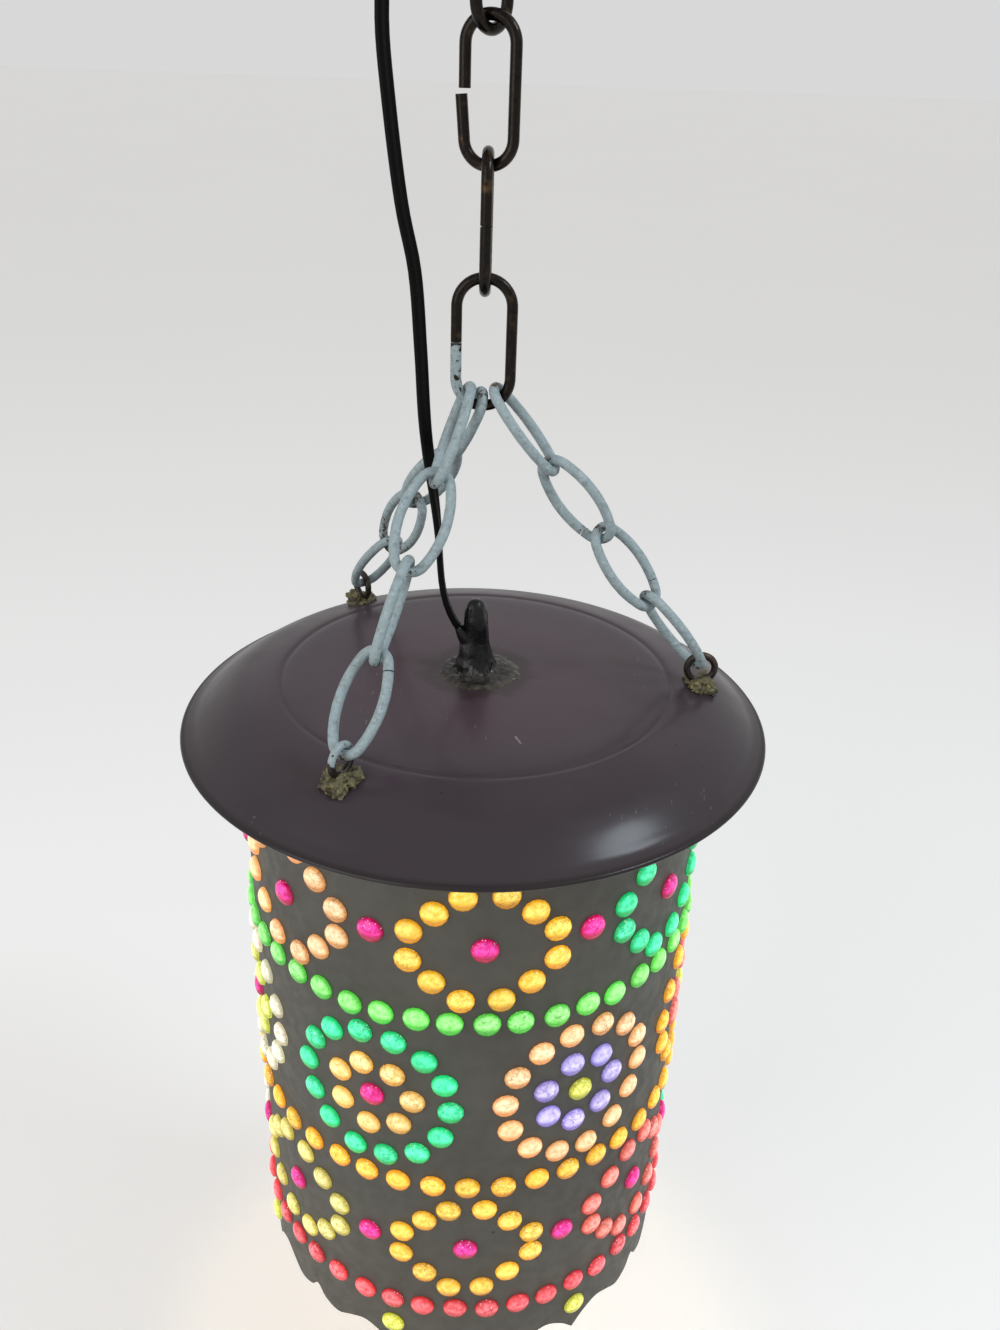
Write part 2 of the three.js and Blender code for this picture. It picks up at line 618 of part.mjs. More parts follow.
// Socket, from the bulb's thread outwards: screw shell, paper liner, brass shell and cap
const screwShellInner = BULB_BASE_RADIUS + GAP;
const linerInner = screwShellInner + SCREW_SHELL_SHEET + GAP;
const shellInner = linerInner + LINER_THICKNESS + GAP;
const skirtInner = shellInner + SOCKET_SHEET + GAP;
const skirtOuter = skirtInner + SOCKET_SHEET;
const socketCapProfile = [
  [skirtInner, SOCKET_CAP_BOTTOM],
  [skirtOuter, SOCKET_CAP_BOTTOM],
  [skirtOuter, 0],
  [skirtOuter - 1.2, 3.6],
  [skirtOuter - 4, 7],
  [SOCKET_NECK_RADIUS + 2, SOCKET_TOP - 3.2],
  [SOCKET_NECK_RADIUS, SOCKET_TOP - 2.4],
  [SOCKET_NECK_RADIUS, SOCKET_TOP],
  [nippleHole, SOCKET_TOP],
  [nippleHole, SOCKET_TOP - 3.6],
  [SOCKET_NECK_RADIUS + 1.6, SOCKET_TOP - 4],
  [skirtInner - 3.8, 6.2],
  [skirtInner - 1.1, 3.2],
  [skirtInner, 0],
];
add("socket_cap", turnedRing(socketCapProfile, 18), brass, onCap);

const knobHole = new THREE.CylinderGeometry(KNOB_SHAFT_RADIUS + BORE_GAP, KNOB_SHAFT_RADIUS + BORE_GAP, 20, 10);
knobHole.rotateZ(Math.PI / 2).translate(18.5, 0, KNOB_HEIGHT);
const socketShell = tube(shellInner + SOCKET_SHEET, shellInner, SOCKET_SHELL_BOTTOM, SOCKET_SHELL_TOP, 20);
add("socket_shell", cut(socketShell, knobHole), brass, onCap);
const liner = tube(linerInner + LINER_THICKNESS, linerInner, LINER_BOTTOM, SOCKET_BODY_TOP, 20);
add("socket_liner", cut(liner, knobHole), paper, onCap);
const socketBody = rod(linerInner - GAP, SOCKET_BODY_BOTTOM, SOCKET_BODY_TOP, 20);
add("socket_body", cut(socketBody, knobHole), bakelite, onCap);
const screwShell = tube(
  screwShellInner + SCREW_SHELL_SHEET,
  screwShellInner,
  SCREW_SHELL_BOTTOM,
  SOCKET_BODY_BOTTOM - GAP,
  20,
);
add("screw_shell", screwShell, brass, onCap);
add("cord_lead", rod(LEAD_RADIUS, SOCKET_BODY_TOP + GAP, LEAD_TOP, 10), cordVinyl, onCap);

// Turn-knob switch: a shaft into the socket's body, and a flat knob outside the shell
function turnKnob() {
  const shaftStart = 18.5 - 20 / 2 + GAP;
  const knobStart = skirtOuter + 1;
  const shaft = rod(KNOB_SHAFT_RADIUS, shaftStart, knobStart + 3, 10);
  const outline = new THREE.Shape();
  outline.absellipse(0, 0, KNOB_WIDTH / 2, KNOB_THICKNESS / 2, 0, 2 * Math.PI);
  const grip = new THREE.ExtrudeGeometry(outline, { depth: KNOB_LENGTH, bevelEnabled: false, curveSegments: 12 });
  grip.translate(0, 0, knobStart);
  return joined(shaft, grip).rotateY(Math.PI / 2).translate(0, 0, KNOB_HEIGHT);
}
add("switch_knob", turnKnob(), bakelite, onCap);

// Bulb: a screw base with ridges and a pear-shaped glass
const bulbTop = SOCKET_BODY_BOTTOM - GAP;
const bulbBaseBottom = bulbTop - BULB_BASE_LENGTH;

function bulbBase() {
  const threadTop = bulbTop - 4.6;
  const ridges = Math.floor((threadTop - bulbBaseBottom - 2) / BULB_THREAD_PITCH);
  const profile = [
    [0, bulbBaseBottom],
    [BULB_BASE_RADIUS, bulbBaseBottom],
  ];
  for (let i = ridges; i > 0; i--) {
    profile.push([BULB_BASE_RADIUS - BULB_THREAD_DEPTH, threadTop - (i - 0.25) * BULB_THREAD_PITCH]);
    profile.push([BULB_BASE_RADIUS, threadTop - (i - 0.75) * BULB_THREAD_PITCH]);
  }
  profile.push([BULB_BASE_RADIUS - BULB_THREAD_DEPTH, threadTop], [4.8, bulbTop - 1.2], [4.2, bulbTop], [0, bulbTop]);
  return turned(profile, 16);
}
add("bulb_base", bulbBase(), brass, onCap);

const glassProfile = BULB_GLASS_PROFILE.map(([r, depth]) => [r, bulbBaseBottom - depth]).reverse();
const glassEnds = [BULB_GLASS_LENGTH, BULB_GLASS_PROFILE[0][1]].map((depth) => [0, bulbBaseBottom - depth]);
add("bulb_glass", turned([glassEnds[0], ...glassProfile, glassEnds[1]], 20), bulbGlass, onCap);

// Cord coil: a flat cord wound in layers, spiralling in and out, its layers side by side along X
const cordSection = [
  [CORD_WIDTH / 2, 0],
  [CORD_WIDTH / 2 - 0.9, CORD_THICKNESS / 2],
  [0.9 - CORD_WIDTH / 2, CORD_THICKNESS / 2],
  [-CORD_WIDTH / 2, 0],
  [0.9 - CORD_WIDTH / 2, -CORD_THICKNESS / 2],
  [CORD_WIDTH / 2 - 0.9, -CORD_THICKNESS / 2],
];
const coilInnerRadius = COIL_OUTER_RADIUS - COIL_LAYER_TURNS * COIL_RADIAL_STEP;

// How far out and how far along X the cord is after some turns
function windingAt(turns) {
  const period = COIL_LAYER_TURNS + COIL_CLIMB_TURNS;
  const layer = Math.min(Math.floor(turns / period), COIL_LAYERS - 1);
  const inLayer = turns - layer * period;
  const outward = layer % 2 ? 1 : -1;
  const start = outward > 0 ? coilInnerRadius : COIL_OUTER_RADIUS;
  if (inLayer <= COIL_LAYER_TURNS || layer === COIL_LAYERS - 1) {
    return { radius: start + outward * inLayer * COIL_RADIAL_STEP, across: layer * COIL_LAYER_STEP };
  }
  const climb = (inLayer - COIL_LAYER_TURNS) / COIL_CLIMB_TURNS;
  const past = Math.min(climb, 1 - climb) * COIL_CLIMB_TURNS * COIL_RADIAL_STEP + COIL_DIP * Math.sin(Math.PI * climb);
  const radius = start + outward * (COIL_LAYER_TURNS * COIL_RADIAL_STEP + past);
  return { radius, across: (layer + climb * climb * (3 - 2 * climb)) * COIL_LAYER_STEP };
}

const [coilX, coilY, coilZ] = COIL_CENTRE;
const firstLayerX = coilX - ((COIL_LAYERS - 1) * COIL_LAYER_STEP) / 2;

function coilStation(turns) {
  const { radius, across } = windingAt(turns);
  const angle = radians(COIL_START) + 2 * Math.PI * turns;
  const outward = point(0, -Math.cos(angle), Math.sin(angle));
  const at = point(firstLayerX + across, coilY, coilZ + rim).addScaledVector(outward, radius);
  return { at, across: point(1, 0, 0), through: outward.negate() };
}

const coilStations = Array.from({ length: COIL_TURNS * COIL_STEPS + 1 }, (_, i) => coilStation(i / COIL_STEPS));
const movedOn = (station, along) => ({ ...station, at: station.at.clone().add(along) });

// Each end runs on straight for one width of the cord
function straightEnd(turns, sense) {
  const station = coilStation(turns);
  const angle = radians(COIL_START) + 2 * Math.PI * turns;
  const along = point(0, Math.sin(angle), Math.cos(angle)).multiplyScalar(sense * CORD_WIDTH);
  return movedOn(station, along);
}
const coilFirst = straightEnd(0, -1);
const coilLast = straightEnd(COIL_TURNS, 1);
add("cord_coil", swept([coilFirst, ...coilStations, coilLast], cordSection), cordVinyl);

// The least gap between turns: sections that share an angle, corner to side
function leastCoilGap() {
  const section = (turns) => {
    const { radius, across } = windingAt(turns);
    return cordSection.map(([a, b]) => new THREE.Vector2(across + a, radius + b));
  };
  const fromSides = (corners, ring) => {
    let least = Infinity;
    for (const corner of corners) {
      ring.forEach((start, j) => {
        const side = ring[(j + 1) % ring.length].clone().sub(start);
        const part = THREE.MathUtils.clamp(corner.clone().sub(start).dot(side) / side.lengthSq(), 0, 1);
        least = Math.min(least, corner.distanceTo(start.clone().addScaledVector(side, part)));
      });
    }
    return least;
  };
  let least = Infinity;
  for (let i = 0; i < COIL_TURNS * COIL_STEPS; i++) {
    for (let j = i + COIL_STEPS; j <= COIL_TURNS * COIL_STEPS; j += COIL_STEPS) {
      const [one, other] = [section(i / COIL_STEPS), section(j / COIL_STEPS)];
      least = Math.min(least, fromSides(one, other), fromSides(other, one));
    }
  }
  return least;
}
console.log("least gap in the coil: " + leastCoilGap().toFixed(2) + " mm");

// Free cord: from inside the boot up to the coil, and from the coil to the plug
function cordStretch(points, twist) {
  const curve = new THREE.CatmullRomCurve3(points, false, "centripetal");
  const steps = Math.round(curve.getLength() / CORD_STEP);
  const roundedSection = [22.5, 67.5, 112.5, 157.5, 202.5, 247.5, 292.5, 337.5].map((angle) => {
    const [c, s] = [Math.cos(radians(angle)), Math.sin(radians(angle))];
    return [(CORD_WIDTH / 2) * Math.sign(c) * Math.abs(c) ** 0.6, (CORD_THICKNESS / 2) * Math.sign(s) * Math.abs(s) ** 0.6];
  });
  const stations = Array.from({ length: steps + 1 }, (_, i) => {
    const at = curve.getPointAt(i / steps);
    const along = curve.getTangentAt(i / steps);
    const turn = twist(at.z - rim);
    const across = point(Math.cos(turn), Math.sin(turn), 0);
    across.addScaledVector(along, -across.dot(along)).normalize();
    return { at, across, through: along.clone().cross(across) };
  });
  return swept(stations, roundedSection);
}

const [twistFrom, twistTo] = CORD_TWIST;
const turnAtHeight = (height) => (Math.PI / 2) * (1 - THREE.MathUtils.smoothstep(height, twistFrom, twistTo));
const intoCoil = coilFirst.at.clone().sub(coilStations[0].at).normalize();
const meetsCoil = coilFirst.at.clone().addScaledVector(intoCoil, GAP);
const beforeCoil = coilFirst.at.clone().addScaledVector(intoCoil, 4);
add("cord", cordStretch([...route, beforeCoil, meetsCoil], turnAtHeight), cordVinyl);

const plugRear = point(...PLUG_REAR).add(point(0, 0, rim));
const outOfCoil = coilLast.at.clone().sub(coilStations.at(-1).at).normalize();
const tail = [
  coilLast.at.clone().addScaledVector(outOfCoil, GAP),
  coilLast.at.clone().addScaledVector(outOfCoil, 4),
  plugRear.clone().add(point(0, -4, -0.6)),
  plugRear.clone().add(point(0, -GAP, 0)),
];
add("cord_tail", cordStretch(tail, () => 0), cordVinyl);

// Plug: a moulded body with two blades
function plugBody() {
  const outline = [
    [1, -0.6],
    [0.8, -1],
    [-0.8, -1],
    [-1, -0.6],
    [-1, 0.6],
    [-0.8, 1],
    [0.8, 1],
    [1, 0.6],
  ];
  const growth = [
    [0, 0.42],
    [0.18, 0.62],
    [0.4, 0.9],
    [0.8, 1],
    [1, 0.97],
  ];
  const rings = growth.map(([part, size]) =>
    outline.map(([a, b]) => {
      const thick = (Math.min(1, size + 0.2) * PLUG_THICKNESS) / 2;
      return point((a * size * PLUG_WIDTH) / 2, part * PLUG_LENGTH, b * thick).add(plugRear);
    }),
  );
  return skinned(rings);
}
add("plug_body", plugBody(), blackRubber);
for (const sense of [-1, 1]) {
  const blade = new THREE.BoxGeometry(BLADE_THICKNESS, BLADE_LENGTH, BLADE_WIDTH);
  const reach = PLUG_LENGTH + GAP + BLADE_LENGTH / 2;
  const place = new THREE.Matrix4().setPosition(plugRear.clone().add(point((sense * BLADE_SPACING) / 2, reach, 0)));
  add(sense < 0 ? "plug_blade_left" : "plug_blade_right", blade, brass, place);
}

// Tie: a strap round the coil's front bundle and one side of a chain link
function hullOf(points) {
  const sorted = [...points].sort((p, q) => p.x - q.x || p.y - q.y);
  const half = (list) => {
    const chain = [];
    for (const p of list) {
      while (chain.length > 1) {
        const [a, b] = chain.slice(-2);
        if ((b.x - a.x) * (p.y - a.y) - (b.y - a.y) * (p.x - a.x) > 0) break;
        chain.pop();
      }
      chain.push(p);
    }
    return chain.slice(0, -1);
  };
  return [...half(sorted), ...half(sorted.reverse())];
}

function tie() {
  const bundle = coilStations.filter(({ at }) => at.y < coilY && Math.abs(at.z - rim - coilZ) < TIE_WIDTH);
  const [xs, ys] = [bundle.map(({ at }) => at.x), bundle.map(({ at }) => at.y)];
  const bend = 2;
  const clear = GAP + 0.1 - bend;
  const [left, right] = [Math.min(...xs) - CORD_WIDTH / 2 - clear, Math.max(...xs) + CORD_WIDTH / 2 + clear];
  const [front, back] = [Math.min(...ys) - CORD_THICKNESS / 2 - clear, Math.max(...ys) + CORD_THICKNESS / 2 + clear];
  const tiedBar = radians(180 + CHAIN_TWISTS[2]);
  const barRadius = (CHAIN_LINK_WIDTH - CHAIN_WIRE) / 2;
  const bar = [barRadius * Math.cos(tiedBar), barRadius * Math.sin(tiedBar), CHAIN_WIRE / 2 + GAP];
  const circles = [[left, front, bend], [left, back, bend], [right, front, bend], [right, back, bend], bar];
  const belt = (extra) =>
    hullOf(
      circles.flatMap(([x, y, r]) =>
        Array.from({ length: 12 }, (_, i) => {
          const angle = radians(30 * i);
          return new THREE.Vector2(x + (r + extra) * Math.cos(angle), y + (r + extra) * Math.sin(angle));
        }),
      ),
    );
  const outline = new THREE.Shape(belt(TIE_THICKNESS));
  outline.holes.push(new THREE.Path(belt(0)));
  const strap = new THREE.ExtrudeGeometry(outline, { depth: TIE_WIDTH, bevelEnabled: false });
  return strap.translate(0, 0, rim + coilZ - TIE_WIDTH / 2);
}
add("coil_tie", tie(), tieCloth);

export default lamp;
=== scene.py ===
"""The looks of a hanging swag lamp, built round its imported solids.

A pierced sheet-metal shade with domed inserts hangs under an enamelled dish cap, on three painted chains, a
bronze chain and a ceiling hook. Metres, +Z up, the origin in the middle of the hook's ceiling face.
Measures are written in millimetres and turned to metres by MM.
"""

import json
import math
import random

import bmesh
import bpy
from bpy.props import FloatProperty, FloatVectorProperty, IntProperty, PointerProperty
from mathutils import Matrix, Vector, noise

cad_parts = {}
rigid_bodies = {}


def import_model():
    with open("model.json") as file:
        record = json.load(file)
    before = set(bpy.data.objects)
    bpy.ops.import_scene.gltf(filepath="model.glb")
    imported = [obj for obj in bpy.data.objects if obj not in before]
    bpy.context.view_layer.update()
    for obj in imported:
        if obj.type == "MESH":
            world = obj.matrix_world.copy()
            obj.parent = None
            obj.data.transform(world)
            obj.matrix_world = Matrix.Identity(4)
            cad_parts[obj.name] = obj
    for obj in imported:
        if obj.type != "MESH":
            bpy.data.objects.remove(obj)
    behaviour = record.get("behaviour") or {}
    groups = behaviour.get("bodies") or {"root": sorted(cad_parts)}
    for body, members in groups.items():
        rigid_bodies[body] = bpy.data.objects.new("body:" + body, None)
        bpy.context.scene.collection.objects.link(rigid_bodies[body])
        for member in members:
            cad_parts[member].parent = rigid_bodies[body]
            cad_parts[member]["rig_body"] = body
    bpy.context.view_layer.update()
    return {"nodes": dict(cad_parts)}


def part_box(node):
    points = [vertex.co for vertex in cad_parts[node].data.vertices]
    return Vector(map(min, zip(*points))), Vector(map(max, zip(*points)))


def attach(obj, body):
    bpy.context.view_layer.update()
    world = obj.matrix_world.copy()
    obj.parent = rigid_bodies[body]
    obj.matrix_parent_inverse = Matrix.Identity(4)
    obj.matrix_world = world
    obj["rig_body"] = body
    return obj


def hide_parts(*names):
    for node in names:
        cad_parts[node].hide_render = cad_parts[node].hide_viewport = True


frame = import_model()
NODES = frame["nodes"]

bl_info = {
    "name": "Swag lamp",
    "version": (1, 0, 0),
    "blender": (4, 5, 0),
    "location": "View3D > Sidebar > Swag lamp",
    "description": "Builds a hanging lamp with a pierced shade, an enamelled cap, chains and a flat cord",
    "category": "Object",
}

MM = 0.001
LIP_DEPTH = 0.8 * MM  # how far the cap's lip hangs below its rim
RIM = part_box("cap")[0].z + LIP_DEPTH
WELD = 1e-7  # points closer than this are one point

# A short scratch on the cap, in front of the boot: its middle and the direction across it
SCRATCH_AT = (18.5 * MM, -57 * MM)
SCRATCH_ACROSS = (0.94, 0.34)
SCRATCH_OFFSET = SCRATCH_AT[0] * SCRATCH_ACROSS[0] + SCRATCH_AT[1] * SCRATCH_ACROSS[1]
CAP_RING = 84 * MM  # radius of the line that is pressed into the cap


def mm(*values):
    """A point written in millimetres."""
    return Vector(values) * MM


def over_rim(x, y, z):
    """A point written in millimetres, its height above the cap's rim."""
    return Vector((x * MM, y * MM, z * MM + RIM))


# Sizes and colours


def length_property(name, description, default):
    return FloatProperty(
        name=name, description=description, default=default, min=0, subtype="DISTANCE", unit="LENGTH"
    )


def colour_property(name, description, default):
    return FloatVectorProperty(
        name=name, description=description, default=default, size=3, min=0, max=1, subtype="COLOR"
    )


def share_property(name, description, default):
    return FloatProperty(name=name, description=description, default=default, min=0, max=1, subtype="FACTOR")


def power_property(name, description, default):
    return FloatProperty(name=name, description=description, default=default, min=0, subtype="POWER")


def srgb(red, green, blue):
    """A colour written as 0 to 255 on a screen, as the linear numbers that a shader takes."""
    shares = (red / 255, green / 255, blue / 255)
    return tuple(((c + 0.055) / 1.055) ** 2.4 if c > 10 / 255 else c / 12.92 for c in shares)


class ShadeSizes(bpy.types.PropertyGroup):
    radius: length_property("Radius", "Outer radius of the shade", 101.6 * MM)
    sheet: length_property("Sheet", "Thickness of the sheet", 0.8 * MM)
    hole: length_property("Hole", "Diameter of each punched hole", 10.3 * MM)
    insert: length_property("Insert", "Diameter of each domed insert", 11.4 * MM)
    dome: length_property("Dome", "How far each insert stands out", 3.1 * MM)
    scatter: length_property("Scatter", "How far a hole may be out of its place", 0.6 * MM)
    # The inserts' glow is painted light, an emission that stands for the bulb's light through them.
    glow: FloatProperty(name="Glow", description="How strongly the inserts shine", default=1.1, min=0, max=5)
    paint: colour_property("Paint", "Colour of the shade's outside", srgb(76, 74, 66))
    lining: colour_property("Lining", "Colour of the shade's inside", srgb(176, 168, 150))


class CapSizes(bpy.types.PropertyGroup):
    enamel: colour_property("Enamel", "Colour of the cap", srgb(67, 56, 62))
    gloss: share_property("Gloss", "Weight of the clear coat on the enamel", 0.3)
    rubber: colour_property("Rubber", "Colour of the boot", srgb(13, 13, 15))
    sealant: colour_property("Sealant", "Colour of the pad of sealant", srgb(37, 32, 27))


class ChainSizes(bpy.types.PropertyGroup):
    sides: IntProperty(name="Sides", description="Sides of each wire's section", default=16, min=6, max=32)
    step: length_property("Step", "Length of each wire between its rings of points", 1.1 * MM)
    bronze: colour_property("Bronze", "Colour of the dark chain", srgb(33, 28, 24))
    paint: colour_property("Paint", "Colour of the painted chains", srgb(155, 171, 175))
    lumps: length_property("Lumps", "Unevenness of the paint", 0.13 * MM)
    epoxy: colour_property("Epoxy", "Colour of the lumps that hold the eyes", srgb(98, 91, 62))


class CordSizes(bpy.types.PropertyGroup):
    width: length_property("Width", "Width of the flat cord", 5.2 * MM)
    thickness: length_property("Thickness", "Thickness of the flat cord", 2.7 * MM)
    length: length_property("Length", "Length of the cord from the boot to the plug", 3.66)
    vinyl: colour_property("Vinyl", "Colour of the cord and its plug", srgb(9, 9, 10))
    strap: colour_property("Strap", "Colour of the coil's tie", srgb(46, 46, 52))


class BulbSizes(bpy.types.PropertyGroup):
    light: colour_property("Light", "Colour of the lit glass", (1.0, 0.78, 0.5))
    power: FloatProperty(name="Power", description="Strength of the glass", default=20.0, min=0, max=80)


class StageSizes(bpy.types.PropertyGroup):
    floor: colour_property("Floor", "Colour of the floor", (0.83, 0.825, 0.815))
    drop: length_property("Drop", "From the shade's lowest tip down to the floor", 0.14)
    window: power_property("Window", "Power of the lamp that shines on the cap's shoulder", 8.5)
    fill: power_property("Fill", "Power of the second soft lamp", 15.0)
    sky: FloatProperty(
        name="Sky", description="Strength of the light from all round", default=0.46, min=0, max=5
    )


# Nodes written as expressions


class Value:
    """A node's output that sums, products and powers can be written with."""

    def __init__(self, graph, socket):
        self.graph = graph
        self.socket = socket

    def also(self, name):
        """Another output of the same node."""
        return Value(self.graph, self.socket.node.outputs[name])

    def maths(self, operation, *others):
        inputs = dict(enumerate((self, *others)))
        return self.graph.node("ShaderNodeMath", {"operation": operation}, inputs)

    def __add__(self, other):
        return self.maths("ADD", other)

    def __sub__(self, other):
        return self.maths("SUBTRACT", other)

    def __rsub__(self, other):
        return self.graph.number(other).maths("SUBTRACT", self)

    def __mul__(self, other):
        return self.maths("MULTIPLY", other)

    def __truediv__(self, other):
        return self.maths("DIVIDE", other)

    def __rtruediv__(self, other):
        return self.graph.number(other).maths("DIVIDE", self)

    def __pow__(self, other):
        return self.maths("POWER", other)

    def __abs__(self):
        return self.maths("ABSOLUTE")

    __radd__ = __add__
    __rmul__ = __mul__

    def between(self, low, high, low_out=0.0, high_out=1.0):
        """Smoothly from one number to another as this goes from low to high."""
        settings = {"interpolation_type": "SMOOTHSTEP"}
        names = {"Value": self, "From Min": low, "From Max": high, "To Min": low_out, "To Max": high_out}
        return self.graph.node("ShaderNodeMapRange", settings, names)


class Graph:
    """A node tree, of a material or of geometry."""

    def __init__(self, tree):
        self.tree = tree
        tree.nodes.clear()

    def node(self, kind, settings=None, inputs=None, output=0):
        """Any node: its settings first, then the values or links of its inputs, by name or place."""
        made = self.tree.nodes.new(kind)
        for name, setting in (settings or {}).items():
            if name == "stops":
                self.stops(made.color_ramp, setting)
            else:
                setattr(made, name, setting)
        for name, value in (inputs or {}).items():
            if isinstance(value, Value):
                self.tree.links.new(value.socket, made.inputs[name])
            else:
                made.inputs[name].default_value = value
        return Value(self, made.outputs[output]) if len(made.outputs) else made

    @staticmethod
    def stops(ramp, stops):
        while len(ramp.elements) < len(stops):
            ramp.elements.new(0.5)
        for element, (place, colour) in zip(ramp.elements, stops):
            element.position = place
            element.color = (*colour, 1)

    def number(self, value):
        made = self.node("ShaderNodeValue")
        made.socket.default_value = value
        return made

    def place(self):
        """The point on the object, in metres."""
        return self.node("ShaderNodeTexCoord", output="Object")

    def axes(self, vector):
        parts = self.node("ShaderNodeSeparateXYZ", None, {0: vector})
        return parts, parts.also("Y"), parts.also("Z")

    def sum_of(self, one, other):
        return self.node("ShaderNodeVectorMath", {"operation": "ADD"}, {0: one, 1: other})

    def stretched(self, vector, x, y, z):
        return self.node("ShaderNodeVectorMath", {"operation": "MULTIPLY"}, {0: vector, 1: (x, y, z)})

    def grain(self, size, detail=3.0, vector=None):
        """Soft noise whose lumps are about this many metres across, from 0 to 1."""
        inputs = {"Vector": vector or self.place(), "Scale": 1 / size, "Detail": detail}
        return self.node("ShaderNodeTexNoise", None, inputs, "Fac")

    def cells(self, size, feature="F1", vector=None):
        """The distance to the nearest of many points, in units of their usual distance in metres."""
        inputs = {"Vector": vector or self.place(), "Scale": 1 / size}
        return self.node("ShaderNodeTexVoronoi", {"feature": feature}, inputs, "Distance")

    def attribute(self, name, output="Fac"):
        return self.node("ShaderNodeAttribute", {"attribute_name": name}, output=output)

    def mix(self, one, other, share):
        """A colour between two others."""
        inputs = {0: share, 6: self.colour(one), 7: self.colour(other)}
        return self.node("ShaderNodeMix", {"data_type": "RGBA"}, inputs, 2)

    def tint(self, colour, amount):
        """A colour made lighter or darker by a number that varies."""
        colour = colour if isinstance(colour, Value) else tuple(colour)[:3]
        return self.node("ShaderNodeVectorMath", {"operation": "SCALE"}, {0: colour, "Scale": amount})

    @staticmethod
    def colour(value):
        """Three numbers as a shader's colour; a node's output stays as it is."""
        return value if isinstance(value, Value) else (*value, 1)

    def relief(self, height, depth, strength):
        """A normal from a height of 0 to 1 that stands for this many metres."""
        inputs = {"Height": height, "Distance": depth, "Strength": strength}
        return self.node("ShaderNodeBump", None, inputs, "Normal")

    def surface(self, **inputs):
        """The material's surface, from the sockets of one shader, their names with _ for a space."""
        named = {name.replace("_", " "): value for name, value in inputs.items()}
        for name, value in named.items():
            if "Color" in name and not isinstance(value, Value):
                named[name] = self.colour(value)
        shader = self.node("ShaderNodeBsdfPrincipled", None, named)
        self.node("ShaderNodeOutputMaterial", None, {"Surface": shader})


def finish(name, write):
    """A material whose nodes are written by a function of its graph."""
    made = bpy.data.materials.new(name)
    made.use_nodes = True
    write(Graph(made.node_tree))
    return made


def settings(name):
    return getattr(bpy.context.scene, "swag_lamp_" + name)


# Finishes


def bare_bronze(g, colour):
    """Colour and roughness of dark plated wire, rubbed brighter in places."""
    rubbed = g.grain(7 * MM, 4).between(0.52, 0.74)
    tone = g.mix(colour, srgb(104, 82, 54), rubbed * 0.55)
    tone = g.mix(tone, srgb(16, 14, 13), g.grain(2.2 * MM, 4).between(0.5, 0.72) * 0.7)
    return tone, g.grain(1.6 * MM, 2).between(0.3, 0.7, 0.17, 0.34)


def bronze_wire(g):
    """Dark chain wire, with old pale paint where the paint attribute says so."""
    chain = settings("chain")
    tone, rough = bare_bronze(g, chain.bronze)
    left = g.attribute("paint")
    paint = (left + (g.grain(2.4 * MM, 5) - 0.5) * 1.5).between(0.42, 0.56)
    tone = g.mix(tone, g.mix(chain.paint, srgb(120, 110, 98), g.grain(1.2 * MM, 4).between(0.5, 0.75)), paint)
    scratches = g.grain(0.5 * MM, 3, g.stretched(g.place(), 1, 1, 0.25))
    g.surface(
        Base_Color=tone,
        Metallic=0.85 * (1 - paint),
        Roughness=rough + paint * 0.3,
        Normal=g.relief(scratches + paint * 0.9, 0.08 * MM, 0.6),
    )


def painted_wire(g):
    """Pale brushed paint over wire, chipped where the bare attribute and the noise agree."""
    chain = settings("chain")
    bare = g.attribute("bare")
    chips = (g.grain(1.7 * MM, 5) + bare * 0.62).between(0.73, 0.8)
    flecks = g.cells(1.6 * MM).between(0.17, 0.1)
    flecks = flecks * g.grain(6 * MM, 2).between(0.5, 0.64)
    grime = (g.grain(2.6 * MM, 5) + bare * 0.3).between(0.48, 0.8)
    paint = g.mix(chain.paint, srgb(184, 196, 196), g.grain(1.5 * MM, 4).between(0.45, 0.72) * 0.6)
    paint = g.mix(paint, srgb(104, 108, 104), grime * 0.6)
    under = g.mix(srgb(54, 42, 34), srgb(96, 66, 44), g.grain(1.1 * MM, 3))
    gone = (chips + flecks * 0.8).maths("MINIMUM", 1.0)
    strokes = g.grain(0.9 * MM, 4)
    g.surface(
        Base_Color=g.mix(paint, under, gone),
        Roughness=g.grain(2 * MM, 2).between(0.3, 0.7, 0.48, 0.68),
        Normal=g.relief(strokes - gone * 0.7, 0.34 * MM, 0.85),
    )


def eye_wire(g):
    """Dark wire with remains of the chain's paint."""
    tone, rough = bare_bronze(g, srgb(52, 46, 42))
    paint = (g.attribute("paint") + (g.grain(1.8 * MM, 5) - 0.5) * 1.3).between(0.5, 0.6)
    tone = g.mix(tone, settings("chain").paint, paint)
    g.surface(
        Base_Color=tone,
        Metallic=0.6 * (1 - paint),
        Roughness=rough + 0.18,
        Normal=g.relief(g.grain(0.8 * MM, 4) + paint * 0.6, 0.14 * MM, 0.7),
    )


def epoxy_lump(g):
    """Hand-pressed epoxy, olive yellow, with dark patches of painted shade that stand for its dips."""
    # Painted shade: dark patches at random that stand for shade in the lump's dips.
    painted_shade = g.grain(3 * MM, 5).between(0.5, 0.62)
    tone = g.mix(settings("chain").epoxy, srgb(146, 138, 92), g.grain(1.8 * MM, 4).between(0.52, 0.7))
    tone = g.mix(tone, srgb(38, 32, 24), painted_shade * 0.9)
    pits = g.cells(1.6 * MM)
    g.surface(
        Base_Color=tone,
        Roughness=g.grain(1.4 * MM).between(0.3, 0.7, 0.42, 0.7),
        Normal=g.relief(g.grain(1.3 * MM, 5) + pits * 0.4, 0.5 * MM, 0.8),
    )


